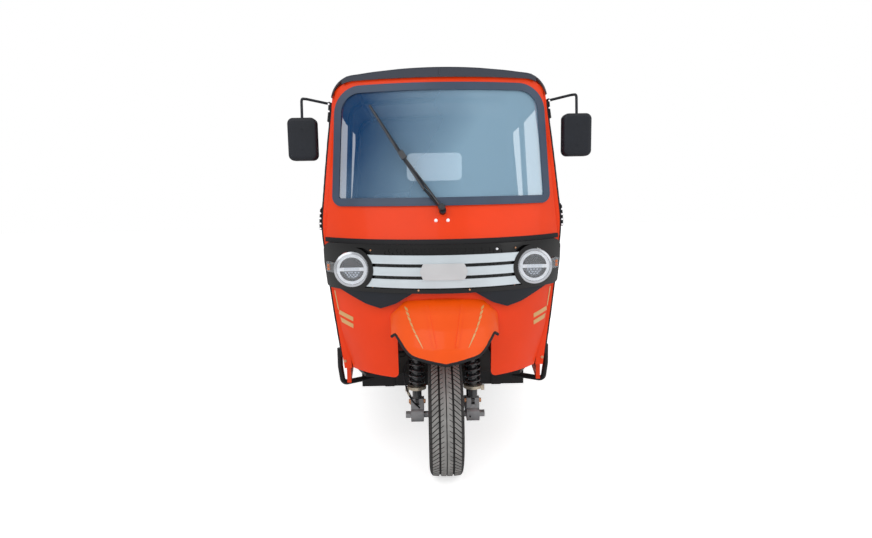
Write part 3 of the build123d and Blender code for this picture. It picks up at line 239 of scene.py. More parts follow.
lamp_black = textured("lamp_black", srgb(26, 27, 31), 0.25, variation=0.1, bump=0.05)
engine_metal = textured("engine_metal", srgb(120, 122, 126), 0.5, metallic=0.6, variation=0.2, scale=14,
                        bump=0.5, bump_scale=260, upward_pale=0.2)
exhaust_metal = textured("exhaust_metal", srgb(92, 86, 80), 0.5, metallic=0.8, variation=0.3, scale=18, bump=0.3)
wheel_paint = textured("wheel_silver", srgb(168, 171, 176), 0.4, metallic=0.5, variation=0.08, bump=0.1)
# The wheel housing's orange, painted dark red as the shade inside the arch
arch_painted_shade = textured("arch_painted_shade", srgb(116, 18, 14), 0.5, variation=0.2, bump=0.2, bump_scale=300)
tyre_rubber = textured("tyre_rubber", srgb(58, 57, 57), 0.78, variation=0.22, scale=22, bump=0.3,
                       bump_scale=600, specular=0.25)
tread_rubber = textured("tread_rubber", srgb(142, 141, 139), 0.85, variation=0.2, scale=26, bump=0.3,
                        bump_scale=500, specular=0.2)
gold = textured("gold_stripe", srgb(222, 168, 98), 0.35, variation=0.05, coat=0.6, bump=0.03)
red_lens = textured("red_lens", srgb(170, 16, 14), 0.15, variation=0.1, coat=0.9, bump=0.06)
amber = textured("amber_bulb", srgb(226, 120, 60), 0.2, variation=0.1, coat=0.8, bump=0.03)
# Shines by itself: the halo rings of the headlamps, and, as a painted glint, the plate bolts and washer nozzles,
# which are not lamps
glowing_white = textured("glowing_white", srgb(246, 248, 252), 0.25, variation=0.02, bump=0.02, glow=0.22)
canopy_cloth = textured("canopy_cloth", srgb(44, 50, 64), 0.66, variation=0.1, scale=3, bump=0.3,
                        bump_scale=900, sheen=0.25, upward_pale=0.06)
seat_vinyl = textured("seat_vinyl", srgb(52, 62, 80), 0.5, variation=0.12, scale=12, bump=0.4, bump_scale=500,
                      sheen=0.1)
dash_plastic = textured("dash_plastic", srgb(58, 64, 76), 0.6, variation=0.1, bump=0.4, bump_scale=900)
screen_glass = tinted_screen()
clear_lens = glassy("clear_lens", srgb(238, 242, 247), 0.92)
clear_sheet = glassy("clear_sheet", srgb(226, 236, 244), 0.9, roughness=0.05)
wiper_black = textured("wiper_black", srgb(34, 36, 42), 0.35, variation=0.1, coat=0.4, bump=0.1)
mirror_glass = textured("mirror_glass", srgb(190, 200, 210), 0.04, metallic=1.0, variation=0.02, bump=0.01)

node_finish = {
    "side_sills": paint, "cowl_lower": paint, "cowl_upper": paint, "front_hoop": paint,
    "quarter_panel_right": paint, "quarter_panel_left": paint, "rear_panel": paint, "rear_door": paint,
    "nose_mudguard": nose_paint, "wheel_housing": arch_painted_shade,
    "chassis_frame": black_metal, "floor_pan": black_metal, "pillar_plates": black_metal,
    "side_guards": black_metal, "driver_seat_base": black_metal, "seat_deck": black_metal,
    "rear_hinges": black_metal, "rear_bumper": black_metal, "top_frame": black_metal,
    "trailing_arms": black_metal, "drive_shafts": black_metal, "rear_shocks": spring_painted_highlight,
    "handlebar": black_metal, "front_fork": black_metal, "front_shocks": spring_painted_highlight,
    "windscreen_seal": seal_rubber, "body_trim": black_rubber, "windscreen_glass": screen_glass,
    "grille_skirts": black_plastic, "grille_mesh": black_gloss, "grille_panel": black_gloss,
    "grille_bars": bar_silver, "badge_plate": plate_silver,
    "headlamp_right": chrome, "headlamp_left": chrome, "lamp_lenses": clear_lens, "turn_signals": clear_lens,
    "wiper": black_plastic, "mirror_right": black_plastic, "mirror_left": black_plastic,
    "dashboard": dash_plastic, "driver_cushion": seat_vinyl, "driver_backrest": seat_vinyl,
    "bench_cushion": seat_vinyl, "bench_backrest": seat_vinyl, "tail_lamps": red_lens,
    "canopy": canopy_cloth, "visor": canopy_cloth, "rear_window": clear_sheet, "engine_block": engine_metal,
    "exhaust": exhaust_metal, "knuckle_arms": cast_alloy, "front_tyre": tyre_rubber,
    "rear_tyre_right": tyre_rubber, "rear_tyre_left": tyre_rubber, "front_rim": wheel_paint,
    "rear_rim_right": wheel_paint, "rear_rim_left": wheel_paint,
}


def smoothing():
    """A node group that welds a mesh and shades it smooth up to an angle"""
    group = bpy.data.node_groups.new("smooth_by_angle", "GeometryNodeTree")
    group.interface.new_socket("Geometry", in_out="INPUT", socket_type="NodeSocketGeometry")
    group.interface.new_socket("Geometry", in_out="OUTPUT", socket_type="NodeSocketGeometry")
    tree, links = group.nodes, group.links
    start = tree.new("NodeGroupInput")
    end = tree.new("NodeGroupOutput")
    strip = tree.new("GeometryNodeRemoveAttribute")
    strip.inputs["Name"].default_value = "custom_normal"
    weld = tree.new("GeometryNodeMergeByDistance")
    weld.inputs["Distance"].default_value = 0.00002
    sharp_angle = math.radians(32)
    faces = tree.new("GeometryNodeSetShadeSmooth")
    faces.domain = "FACE"
    edges = tree.new("GeometryNodeSetShadeSmooth")
    edges.domain = "EDGE"
    edges.inputs["Shade Smooth"].default_value = False
    angle = tree.new("GeometryNodeInputMeshEdgeAngle")
    sharp = tree.new("FunctionNodeCompare")
    sharp.operation = "GREATER_THAN"
    sharp.inputs["B"].default_value = sharp_angle
    links.new(start.outputs[0], strip.inputs["Geometry"])
    links.new(strip.outputs["Geometry"], weld.inputs["Geometry"])
    links.new(weld.outputs["Geometry"], faces.inputs["Geometry"])
    links.new(faces.outputs["Geometry"], edges.inputs["Geometry"])
    links.new(angle.outputs["Unsigned Angle"], sharp.inputs["A"])
    links.new(sharp.outputs["Result"], edges.inputs["Selection"])
    links.new(edges.outputs["Geometry"], end.inputs[0])
    return group


smooth_group = smoothing()


def smooth(obj):
    """Smooth shading up to an angle, as a modifier"""
    mod = obj.modifiers.new("smooth_by_angle", "NODES")
    mod.node_group = smooth_group


for name, finish in node_finish.items():
    nodes[name].data.materials.clear()
    nodes[name].data.materials.append(finish)
    smooth(nodes[name])


# Camera, light and floor

def camera():
    """The photograph's view: a pinhole 2.45 m ahead of the front axle, at 1.19 m, looking down a little"""
    focal_px, frame_px, sensor_mm = 615.0, 872.0, 36.0
    ahead, height, aside = 2.45, 1.19, -0.056
    pitch, roll, yaw = math.radians(7.8), math.radians(1.0), math.radians(0.66)
    data = bpy.data.cameras.new("camera")
    data.sensor_width = sensor_mm
    data.lens = focal_px / frame_px * sensor_mm
    data.clip_start = 0.05
    obj = bpy.data.objects.new("camera", data)
    bpy.context.scene.collection.objects.link(obj)
    turn = Matrix.Rotation(-yaw, 4, "Z") @ Matrix.Rotation(math.pi / 2 - pitch, 4, "X")
    turn = turn @ Matrix.Rotation(-roll, 4, "Z")
    obj.matrix_world = Matrix.Translation((aside, back(-ahead), height)) @ turn
    bpy.context.scene.camera = obj


def lamp(name, size, energy, place, target):
    """A round soft lamp that looks at a place"""
    data = bpy.data.lights.new(name, "AREA")
    data.shape = "DISK"
    data.size = size
    data.energy = energy
    obj = bpy.data.objects.new(name, data)
    bpy.context.scene.collection.objects.link(obj)
    obj.location = place
    obj.rotation_euler = (Vector(target) - Vector(place)).to_track_quat("-Z", "Y").to_euler()


def stage():
    """A pale floor, a pale world and three soft lamps"""
    half = 14.0
    floor_shade, floor_glow, shade_light = (0.9, 0.9, 0.9, 1), 0.62, 0.6
    mesh = bpy.data.meshes.new("floor")
    mesh.from_pydata([(-half, -half, 0), (half, -half, 0), (half, half, 0), (-half, half, 0)], [], [(0, 1, 2, 3)])
    floor = bpy.data.objects.new("floor", mesh)
    bpy.context.scene.collection.objects.link(floor)
    mat, tree, links, bsdf = new_material("floor_pale")
    bsdf.inputs["Base Color"].default_value = floor_shade
    bsdf.inputs["Roughness"].default_value = 0.9
    path = tree.new("ShaderNodeLightPath")
    glow = tree.new("ShaderNodeEmission")
    glow.inputs["Strength"].default_value = floor_glow
    add = tree.new("ShaderNodeAddShader")
    mix = tree.new("ShaderNodeMixShader")
    links.new(bsdf.outputs["BSDF"], add.inputs[0])
    links.new(glow.outputs["Emission"], add.inputs[1])
    links.new(path.outputs["Is Camera Ray"], mix.inputs["Fac"])
    links.new(bsdf.outputs["BSDF"], mix.inputs[1])
    links.new(add.outputs["Shader"], mix.inputs[2])
    links.new(mix.outputs["Shader"], tree["Material Output"].inputs["Surface"])
    floor.data.materials.append(mat)
    world = bpy.data.worlds.new("world")
    bpy.context.scene.world = world
    world.use_nodes = True
    tree, links = world.node_tree.nodes, world.node_tree.links
    path = tree.new("ShaderNodeLightPath")
    seen = tree.new("ShaderNodeMath")
    seen.operation = "MAXIMUM"
    links.new(path.outputs["Is Camera Ray"], seen.inputs[0])
    links.new(path.outputs["Is Transmission Ray"], seen.inputs[1])
    strength = tree.new("ShaderNodeMapRange")
    strength.inputs["To Min"].default_value = shade_light
    strength.inputs["To Max"].default_value = 1.0
    links.new(seen.outputs[0], strength.inputs["Value"])
    links.new(strength.outputs["Result"], tree["Background"].inputs["Strength"])
    tree["Background"].inputs["Color"].default_value = (1, 1, 1, 1)
    lamp("key", 6.5, 125, (-3.0, -5.0, 4.5), (0, 0, 0.8))
    lamp("fill", 6.0, 66, (4.0, -3.5, 3.0), (0, 0, 0.8))
    lamp("rim", 4.5, 52, (1.5, 5.0, 3.5), (0, 0, 1.0))
    bpy.context.scene.view_settings.view_transform = "Standard"


# Helpers for pieces

def made(name, verts, faces, finish, body):
    """A mesh piece with one finish that rides on a body"""
    mesh = bpy.data.meshes.new(name)
    mesh.from_pydata([tuple(v) for v in verts], [], faces)
    mesh.validate()
    mesh.materials.append(finish)
    obj = bpy.data.objects.new(name, mesh)
    bpy.context.scene.collection.objects.link(obj)
    smooth(obj)
    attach(obj, body)
    return obj


def grid_faces(rows, columns, wrap=False):
    """Quads of a grid of rows by columns, the columns closed on themselves where wrap says so"""
    last = columns if wrap else columns - 1
    return [(r * columns + c, r * columns + (c + 1) % columns, (r + 1) * columns + (c + 1) % columns,
             (r + 1) * columns + c) for r in range(rows - 1) for c in range(last)]


def surface_of(*names):
    """A tree of the faces of CAD nodes, to lay details on"""
    verts, faces = [], []
    for name in names:
        mesh = nodes[name].data
        start = len(verts)
        verts += [v.co.copy() for v in mesh.vertices]
        faces += [[start + i for i in p.vertices] for p in mesh.polygons]
    return BVHTree.FromPolygons(verts, faces)


def struck(tree, start, direction):
    """The first place that a ray from start meets, and the outward normal there"""
    direction = Vector(direction).normalized()
    place, normal, _, _ = tree.ray_cast(Vector(start), direction)
    if place is None:
        return None, None
    return place, normal if normal.dot(direction) < 0 else -normal


def seen_from_front(tree, x, z):
    """What a ray from ahead of the part, at x and z, meets first"""
    return struck(tree, (x, back(-AHEAD), z), (0, 1, 0))


class Heap:
    """Many small solids gathered into one mesh"""

    def __init__(self):
        self.verts, self.faces = [], []

    def add(self, verts, faces, matrix=Matrix.Identity(4)):
        start = len(self.verts)
        self.verts += [matrix @ Vector(v) for v in verts]
        self.faces += [tuple(start + i for i in f) for f in faces]

    def turned(self, profile, matrix, steps=20):
        """A solid turned about Z from a profile of (radius, height), closed at both ends"""
        verts = [(r * math.cos(2 * math.pi * k / steps), r * math.sin(2 * math.pi * k / steps), h)
                 for r, h in profile for k in range(steps)]
        faces = grid_faces(len(profile), steps, wrap=True)
        faces.append(tuple(reversed(range(steps))))
        faces.append(tuple(range(len(verts) - steps, len(verts))))
        self.add(verts, faces, matrix)

    def rod(self, points, radius, sides=10):
        """A round rod along points"""
        points = [Vector(p) for p in points]
        ring, verts = None, []
        for i, p in enumerate(points):
            ahead = points[min(i + 1, len(points) - 1)] - points[max(i - 1, 0)]
            ahead.normalize()
            if ring is None:
                side = ahead.cross(Vector((0, 0, 1)))
                side = side if side.length > 0.1 else ahead.cross(Vector((1, 0, 0)))
            else:
                side = ring - ahead * ring.dot(ahead)
            side.normalize()
            ring = side
            up = ahead.cross(side)
            verts += [p + (side * math.cos(2 * math.pi * k / sides) + up * math.sin(2 * math.pi * k / sides)) * radius
                      for k in range(sides)]
        faces = grid_faces(len(points), sides, wrap=True)
        faces.append(tuple(reversed(range(sides))))
        faces.append(tuple(range(len(verts) - sides, len(verts))))
        self.add(verts, faces)

    def annulus(self, matrix, radii, heights, start=0.0, end=2 * math.pi, steps=64):
        """A flat ring about Z, or the part of one between two angles, between two heights"""
        (inside, outside), (near, far) = radii, heights
        verts = []
        for k in range(steps + 1):
            a = start + (end - start) * k / steps
            c, s = math.cos(a), math.sin(a)
            verts += [(inside * c, inside * s, near), (outside * c, outside * s, near),
                      (outside * c, outside * s, far), (inside * c, inside * s, far)]
        faces = []
        for k in range(steps):
            for j in range(4):
                a, b = 4 * k + j, 4 * k + (j + 1) % 4
                faces.append((a, b, b + 4, a + 4))
        if end - start < 2 * math.pi:
            faces += [(3, 2, 1, 0), tuple(4 * steps + j for j in range(4))]
        self.add(verts, faces, matrix)

    def box(self, size, matrix):
        a, b, c = (s / 2 for s in size)
        verts = [(x, y, z) for x in (-a, a) for y in (-b, b) for z in (-c, c)]
        faces = [(0, 1, 3, 2), (4, 6, 7, 5), (0, 4, 5, 1), (2, 3, 7, 6), (0, 2, 6, 4), (1, 5, 7, 3)]
        self.add(verts, faces, matrix)

    def make(self, name, finish, body):
        made(name, self.verts, self.faces, finish, body)


def facing(place, normal):
    """A matrix whose Z points along the normal at a place"""
    return Matrix.Translation(place) @ Vector(normal).to_track_quat("Z", "Y").to_matrix().to_4x4()


def curved(points, steps=8):
    """A smooth line through points"""
    points = [Vector(p) for p in points]
    ends = [points[0] * 2 - points[1]] + points + [points[-1] * 2 - points[-2]]
    line = []
    for a, b, c, d in zip(ends, ends[1:], ends[2:], ends[3:]):
        for k in range(steps):
            t = k / steps
            line.append(0.5 * ((2 * b) + (c - a) * t + (2 * a - 5 * b + 4 * c - d) * t ** 2
                               + (3 * b - a - 3 * c + d) * t ** 3))
    return line + [points[-1]]


# Tyres

def tread_tyre():
    """One tyre about X at the origin, with grooves round it and slanted sipes in a V"""
    half, radius = TYRE_HALF, TYRE_RADIUS
    bead, foot = 0.1585, 0.0465
    rib_end, shoulder_end = 0.0555, half - 0.0025
    groove_deep, sipe_deep, wall = 0.0065, 0.0045, 0.0006
    centre_half, groove_in, groove_out = 0.0013, 0.0225, 0.0297
    solid_band, slant, slant_power, slant_end = 0.011, 0.95, 1.25, 0.06
    pitches = 74
    # across half the tread: x, how deep, zone (0 groove, 1 centre rib, 2 shoulder rib)
    across = [
        (0.0, groove_deep * 0.6, 0), (centre_half, groove_deep * 0.6, 0), (centre_half + wall, 0, 1),
        (0.007, 0, 1), (0.0105, 0, 1), (0.0112, 0, 1), (0.018, 0, 1), (groove_in, 0, 1),
        (groove_in + wall, groove_deep, 0), (groove_out, groove_deep, 0), (groove_out + wall, 0, 2),
        (0.036, 0, 2), (0.042, 0, 2), (0.048, 0, 2), (rib_end, 0, 2),
    ]
    # the rest of half a section: x, radius, zone
    flank = [
        (0.0605, radius - 0.0085, 2), (0.0645, radius - 0.0145, 2), (shoulder_end, radius - 0.022, 2),
        (half - 0.0012, radius - 0.029, 3), (half - 0.0004, radius - 0.036, 3), (half, bead + 0.046, 3),
        (half - 0.0003, bead + 0.040, 3), (half - 0.0016, bead + 0.0385, 3), (half - 0.0012, bead + 0.032, 3),
        (half - 0.004, bead + 0.024, 3), (half - 0.010, bead + 0.017, 3), (foot + 0.004, bead + 0.0125, 3),
        (foot, bead + 0.010, 3), (foot, bead, 3),
    ]

    def crown(x):
        return radius - 0.0032 * (x / rib_end) ** 2

    side = [(x, crown(x) - deep, zone) for x, deep, zone in across] + flank
    section = [(-x, r, zone) for x, r, zone in reversed(side[1:])] + side
    # within one pitch: place, centre sipe, shoulder sipe
    cells = [(0.0, 0, 0), (0.06, 0, 0), (0.09, 0, 1), (0.25, 0, 1), (0.28, 0, 0), (0.44, 0, 0),
             (0.47, 1, 0), (0.55, 1, 0), (0.58, 0, 0), (0.8, 0, 0)]
    columns = pitches * len(cells)
    verts = []
    for x, r, zone in section:
        lean = slant * (min(abs(x), slant_end) / groove_out) ** slant_power
        for pitch in range(pitches):
            for place, centre_cut, shoulder_cut in cells:
                deep = 0
                if zone == 1 and centre_cut and abs(x) > solid_band:
                    deep = sipe_deep
                if zone == 2 and shoulder_cut:
                    deep = groove_deep * 0.85
                angle = 2 * math.pi * (pitch + place + lean) / pitches
                verts.append((x, (r - deep) * math.cos(angle), (r - deep) * math.sin(angle)))
    faces = grid_faces(len(section), columns, wrap=True)
    tops = []
    for corners in faces:
        rows = {c // columns for c in corners}
        radii = [math.hypot(verts[c][1], verts[c][2]) for c in corners]
        flat = max(radii) - min(radii) < 0.002 and min(radii) > radius - 0.0045
        tops.append(1 if flat and all(section[r][2] in (1, 2) for r in rows) else 0)
    start = len(section) - 1
    faces += [(start * columns + c, start * columns + (c + 1) % columns, (c + 1) % columns, c)
              for c in range(columns)]
    tops += [0] * columns
    mesh = bpy.data.meshes.new("tread_tyre")
    mesh.from_pydata(verts, [], faces)
    mesh.materials.append(tyre_rubber)
    mesh.materials.append(tread_rubber)
    mesh.polygons.foreach_set("material_index", tops)
    mesh.update()
    bm = bmesh.new()
    bm.from_mesh(mesh)
    bmesh.ops.recalc_face_normals(bm, faces=bm.faces)
    bm.to_mesh(mesh)
    bm.free()
    return mesh


def tyres():
    """The treaded tyre on all three wheels"""
    mesh = tread_tyre()
    for name, node, body in (("tyre_front", "front_tyre", "front_wheel"),
                             ("tyre_rear_right", "rear_tyre_right", "rear_wheel_right"),
                             ("tyre_rear_left", "rear_tyre_left", "rear_wheel_left")):
        obj = bpy.data.objects.new(name, mesh)
        bpy.context.scene.collection.objects.link(obj)
        obj.location = centre(node)
        smooth(obj)
        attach(obj, body)
        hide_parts(node)


# Cushions

CUSHION_VOXEL = 0.006
CUSHION_PRESSURE, CUSHION_SWELL = 4.0, 0.007
CLOTH_FRAMES = 12
CHANNEL_DEEP, CHANNEL_HALF = 0.004, 0.0055


def blow_up(obj):
    """Runs a short cloth simulation under pressure, with no gravity"""
    cloth = obj.modifiers.new("cloth", "CLOTH")
    cloth.settings.use_pressure = True
    cloth.settings.uniform_pressure_force = CUSHION_PRESSURE
    cloth.settings.effector_weights.gravity = 0
    cloth.settings.tension_stiffness = 40
    cloth.settings.compression_stiffness = 40
    cloth.settings.bending_stiffness = 6
    cloth.settings.quality = 5
    cloth.point_cache.frame_start = 1
    cloth.point_cache.frame_end = CLOTH_FRAMES
    scene = bpy.context.scene
    for f in range(1, CLOTH_FRAMES + 1):
        scene.frame_set(f)
    bake(obj)
    scene.frame_set(1)


def puffed(node, pleat):
    """A CAD cushion as a padded piece: blown up a little as cloth, then stitched into upright pleats"""
    obj = bpy.data.objects.new(node + "_padded", nodes[node].data.copy())
    obj.data.name = node + "_padded"
    bpy.context.scene.collection.objects.link(obj)
    obj.data.materials.clear()
    obj.data.materials.append(seat_vinyl)
    bpy.context.view_layer.objects.active = obj
    weld = obj.modifiers.new("weld", "WELD")
    weld.merge_threshold = 0.00005
    remesh = obj.modifiers.new("remesh", "REMESH")
    remesh.mode = "VOXEL"
    remesh.voxel_size = CUSHION_VOXEL
    bake(obj)
    before = [v.co.copy() for v in obj.data.vertices]
    blow_up(obj)
    low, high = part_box(node)
    across = high.x - low.x
    count = max(2, round(across / pleat))
    normals = [v.normal.copy() for v in obj.data.vertices]
    for v, old, normal in zip(obj.data.vertices, before, normals):
        grown = v.co - old
        if grown.length > CUSHION_SWELL:
            grown.length = CUSHION_SWELL
        place = old + grown
        share = (place.x - low.x) / across * count
        near = abs(share - round(share)) * across / count
        if abs(normal.x) < 0.6 and 0 < round(share) < count:
            place -= normal * CHANNEL_DEEP * math.exp(-(near / CHANNEL_HALF) ** 2)
        v.co = place
    obj.data.update()
    finer = obj.modifiers.new("finer", "SUBSURF")
    finer.levels = 1
    finer.render_levels = 1
    for p in obj.data.polygons:
        p.use_smooth = True
    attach(obj, "chassis")
    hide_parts(node)


def bake(obj):
    """Writes an object's modifiers into its mesh"""
    graph = bpy.context.evaluated_depsgraph_get()
    mesh = bpy.data.meshes.new_from_object(obj.evaluated_get(graph))
    obj.modifiers.clear()
    obj.data = mesh


def cushions():
    """Every cushion, with the width of its pleats"""
    for node, pleat in (("driver_cushion", 0.086), ("driver_backrest", 0.047),
                        ("bench_cushion", 0.078), ("bench_backrest", 0.078)):
        puffed(node, pleat)


# Soft top

def outer_faces(bm, low, high):
    """Leaves only the faces of the canopy that look out and have nothing over them"""
    core_ahead, core_behind, core_z, lean = 0.3, 0.5, 1.2, 0.25
    hidden = []
    for face in bm.faces:
        middle = face.calc_center_median()
        core = Vector((0, min(max(middle.y, low.y + core_ahead), high.y - core_behind), core_z))
        out = middle - core
        if face.normal.dot(out) <= lean * out.length:
            hidden.append(face)
    bmesh.ops.delete(bm, geom=hidden, context="FACES")
    tree = BVHTree.FromBMesh(bm)
    covered = []
    for face in bm.faces:
        start = face.calc_center_median() + face.normal * 0.002
        if tree.ray_cast(start, face.normal)[0] is not None:
            covered.append(face)
    bmesh.ops.delete(bm, geom=covered, context="FACES")


def cloth_top():
    """The soft top as one continuous sheet: the canopy's outer face, cut finer, with soft creases"""
    edge_longest, cloth_thick = 0.045, 0.002
    crease_high, pull_high, sunk = 0.0016, 0.0007, 0.0016
    roof_z, side_share = 1.6, 0.6
    bm = bmesh.new()
    bm.from_mesh(nodes["canopy"].data)
    bmesh.ops.remove_doubles(bm, verts=bm.verts, dist=0.00005)
    low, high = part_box("canopy")
    outer_faces(bm, low, high)
    for _ in range(5):
        bmesh.ops.triangulate(bm, faces=bm.faces)
        long_edges = [e for e in bm.edges if e.calc_length() > edge_longest]
        if not long_edges:
            break
        bmesh.ops.subdivide_edges(bm, edges=long_edges, cuts=1)
    bmesh.ops.triangulate(bm, faces=bm.faces)
    bmesh.ops.recalc_face_normals(bm, faces=bm.faces)
    bm.normal_update()
    for vert in bm.verts:
        p = vert.co
        crease = math.sin(p.y * 9 + 3 * math.sin(p.x * 5)) * math.sin(p.x * 7 + 1.3)
        pull = math.sin(p.y * 31 + p.z * 11) * math.sin(p.x * 23 + p.z * 17)
        slack = 1 if p.z > roof_z else side_share
        vert.co = p + vert.normal * (crease_high * crease * slack + pull_high * pull - sunk)
    area = sum(f.calc_area() for f in bm.faces)
    mesh = bpy.data.meshes.new("cloth_top")
    bm.to_mesh(mesh)
    bm.free()
    mesh.materials.append(canopy_cloth)
    for p in mesh.polygons:
        p.use_smooth = True
    obj = bpy.data.objects.new("cloth_top", mesh)
    bpy.context.scene.collection.objects.link(obj)
    thick = obj.modifiers.new("thick", "SOLIDIFY")
    thick.thickness = cloth_thick
    thick.offset = -1
    smooth(obj)
    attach(obj, "chassis")
    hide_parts("canopy")


def top_seams():
    """Sewn welts on the visor: its centre seam, and one along its upper edge"""
    centre_parts, edge_parts = 12, 60
    heap = Heap()
    tree = surface_of("visor")
    low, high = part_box("visor")
    wide, tall = high.x - low.x, high.z - low.z
    line = []
    for k in range(centre_parts):
        place, _ = seen_from_front(tree, 0, low.z + tall * (0.66 + 0.34 * (k + 0.5) / centre_parts))
        if place is not None:
            line.append(place - Vector((0, 0.0005, 0)))
    heap.rod(line, 0.0022, 6)
    line = []
    for k in range(edge_parts):
        x = low.x + wide * (0.06 + 0.88 * k / (edge_parts - 1))
        place, _ = seen_from_front(tree, x, low.z + tall * 0.985 - 0.028 * (x / high.x) ** 2)
        if place is not None:
            line.append(place)
    heap.rod(line, 0.0016, 6)
    heap.make("visor_seams", canopy_cloth, "chassis")


# Lamps

LAMP_X, LAMP_Z, LAMP_FRONT = 0.358, 0.868, back(-0.062)


def lamp_inserts():
    """Halo ring, cross bar, dark upper bowl and a grey lower bowl with small reflectors"""
    halo_radii, bezel_radii = (0.0475, 0.0590), (0.0405, 0.0472)
    bowl_radii, brow_radii = (0.002, 0.0402), (0.026, 0.0400)
    bar_size, brow_trim = (0.094, 0.0135, 0.006), 0.25
    reflector_rows, reflector_pitch = ((-0.015, 5), (-0.024, 4), (-0.032, 3)), 0.0125
    reflector = [(0.0042, -0.012), (0.0042, -0.0095), (0.0022, -0.0088)]
    half_turn = math.pi
    halo, dark, grey, dots, bezel = Heap(), Heap(), Heap(), Heap(), Heap()
    for side in (-1, 1):
        base = Matrix.Translation((side * LAMP_X, LAMP_FRONT, LAMP_Z)) @ Matrix.Rotation(math.pi / 2, 4, "X")
        halo.annulus(base, halo_radii, (0.003, -0.004))
        bezel.annulus(base, bezel_radii, (0.0, -0.012))
        dark.annulus(base, bowl_radii, (-0.016, -0.020), 0.0, half_turn, 32)
        dark.annulus(base, brow_radii, (-0.010, -0.014), brow_trim, half_turn - brow_trim, 28)
        grey.annulus(base, bowl_radii, (-0.012, -0.020), half_turn, 2 * half_turn, 32)
        halo.box(bar_size, base)
        for row, count in reflector_rows:
            for k in range(count):
                x = (k - (count - 1) / 2) * reflector_pitch
                dots.turned(reflector, base @ Matrix.Translation((x, row, 0)), 10)
    halo.make("lamp_halos", glowing_white, "chassis")
    bezel.make("lamp_inner_rings", lamp_black, "chassis")
    dark.make("lamp_upper_bowls", lamp_black, "chassis")
    grey.make("lamp_lower_bowls", lamp_grey, "chassis")
    dots.make("lamp_reflectors", chrome, "chassis")


def signal_bulbs():
    """The orange bulbs at the tips of the clear bars"""
    bulb_x, bulb_z, rise, bulb_size = 0.462, 0.867, 0.007, (0.012, 0.003, 0.011)
    heap = Heap()
    tree = surface_of("turn_signals")
    for side in (-1, 1):
        for z in (bulb_z - rise, bulb_z + rise):
            place, _ = seen_from_front(tree, side * bulb_x, z)
            if place is not None:
                heap.box(bulb_size, Matrix.Translation(place - Vector((0, 0.0008, 0))))
    heap.make("signal_bulbs", amber, "chassis")


# Stripes

def patch(heap, tree, corners, parts=10):
    """A thin skin over the surface seen from the front, inside a quad of (x, z) corners"""
    proud = 0.0011
    (ax, az), (bx, bz), (cx, cz), (dx, dz) = corners
    verts = []
    for i in range(parts + 1):
        for k in range(parts + 1):
            u, v = i / parts, k / parts
            x = (ax * (1 - u) + bx * u) * (1 - v) + (dx * (1 - u) + cx * u) * v
            z = (az * (1 - u) + bz * u) * (1 - v) + (dz * (1 - u) + cz * u) * v
            place, normal = seen_from_front(tree, x, z)
            if place is None:
                return
            verts.append(place + normal * proud)
    heap.add(verts, grid_faces(parts + 1, parts + 1))


# Corners of the leg's stripes as (x, z): the upper and lower bar, and the line that runs up from them
LEG_BARS = [[(0.432, 0.680), (0.368, 0.661), (0.369, 0.643), (0.436, 0.662)],
            [(0.430, 0.649), (0.369, 0.631), (0.370, 0.613), (0.424, 0.628)],
            [(0.452, 0.762), (0.446, 0.762), (0.434, 0.680), (0.439, 0.680)]]
# Places down the nose's stripe: height, middle, half width; and the head and foot of each of its dashes
NOSE_SPINE = [(0.727, 0.1470, 0.0062), (0.687, 0.1310, 0.0056), (0.651, 0.1120, 0.0045), (0.601, 0.0830, 0.0010)]
NOSE_DASHES = [(0.727, 0.717), (0.713, 0.702), (0.698, 0.686), (0.682, 0.668), (0.665, 0.648), (0.645, 0.601)]


def on_spine(z):
    """The middle and half width of the nose's stripe at a height"""
    for (z1, x1, h1), (z2, x2, h2) in zip(NOSE_SPINE, NOSE_SPINE[1:]):
        if z1 >= z >= z2:
            t = (z1 - z) / (z1 - z2)
            return x1 + (x2 - x1) * t, h1 + (h2 - h1) * t
    return NOSE_SPINE[-1][1:]


def stripes():
    """Tan stripes: two slanted bars on each leg of the cowl, and tapered dashes on the nose"""
    slant = 0.003
    legs, nose = surface_of("cowl_lower"), surface_of("nose_mudguard")
    heap = Heap()
    for side in (-1, 1):
        for bar in LEG_BARS:
            patch(heap, legs, [(side * x, z) for x, z in bar])
    heap.make("leg_stripes", gold, "chassis")
    heap = Heap()
    for side in (-1, 1):
        for top, foot in NOSE_DASHES:
            (xa, ha), (xb, hb) = on_spine(top), on_spine(foot)
            lean = 0.0 if foot == NOSE_DASHES[-1][1] else slant
            patch(heap, nose, [(side * (xa + ha), top + lean), (side * (xa - ha), top - lean),
                               (side * (xb - hb), foot - lean), (side * (xb + hb), foot + lean)], parts=4)
    heap.make("nose_stripes", gold, "chassis")


def nose_lip():
    """The rubber lip along the lower edge of the nose"""
    half, parts, climb, highest, lip_radius = 0.2035, 80, 0.0008, 0.12, 0.006
    tree = surface_of("nose_mudguard")
    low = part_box("nose_mudguard")[0]
    line = []
    for k in range(parts + 1):
        x = half * (2 * k / parts - 1)
        z = low.z - 0.002
        while z < low.z + highest:
            place, _ = seen_from_front(tree, x, z)
            if place is not None:
                line.append(place + Vector((0, 0.003, 0.0005)))
                break
            z += climb
    heap = Heap()
    heap.rod(line, lip_radius, 8)
    heap.make("nose_lip", black_rubber, "chassis")


# Fasteners and small fittings

def bolt(heap, hit, radius, tall, sides=6):
    """A bolt head on a surface, where the ray to it has met one"""
    place, normal = hit
    if place is None:
        return
    flange = radius * 1.15
    profile = [(flange, -0.001), (flange, tall * 0.25), (radius, tall * 0.3), (radius, tall * 0.85),
               (radius * 0.7, tall)]
    heap.turned(profile, facing(place, normal), sides)


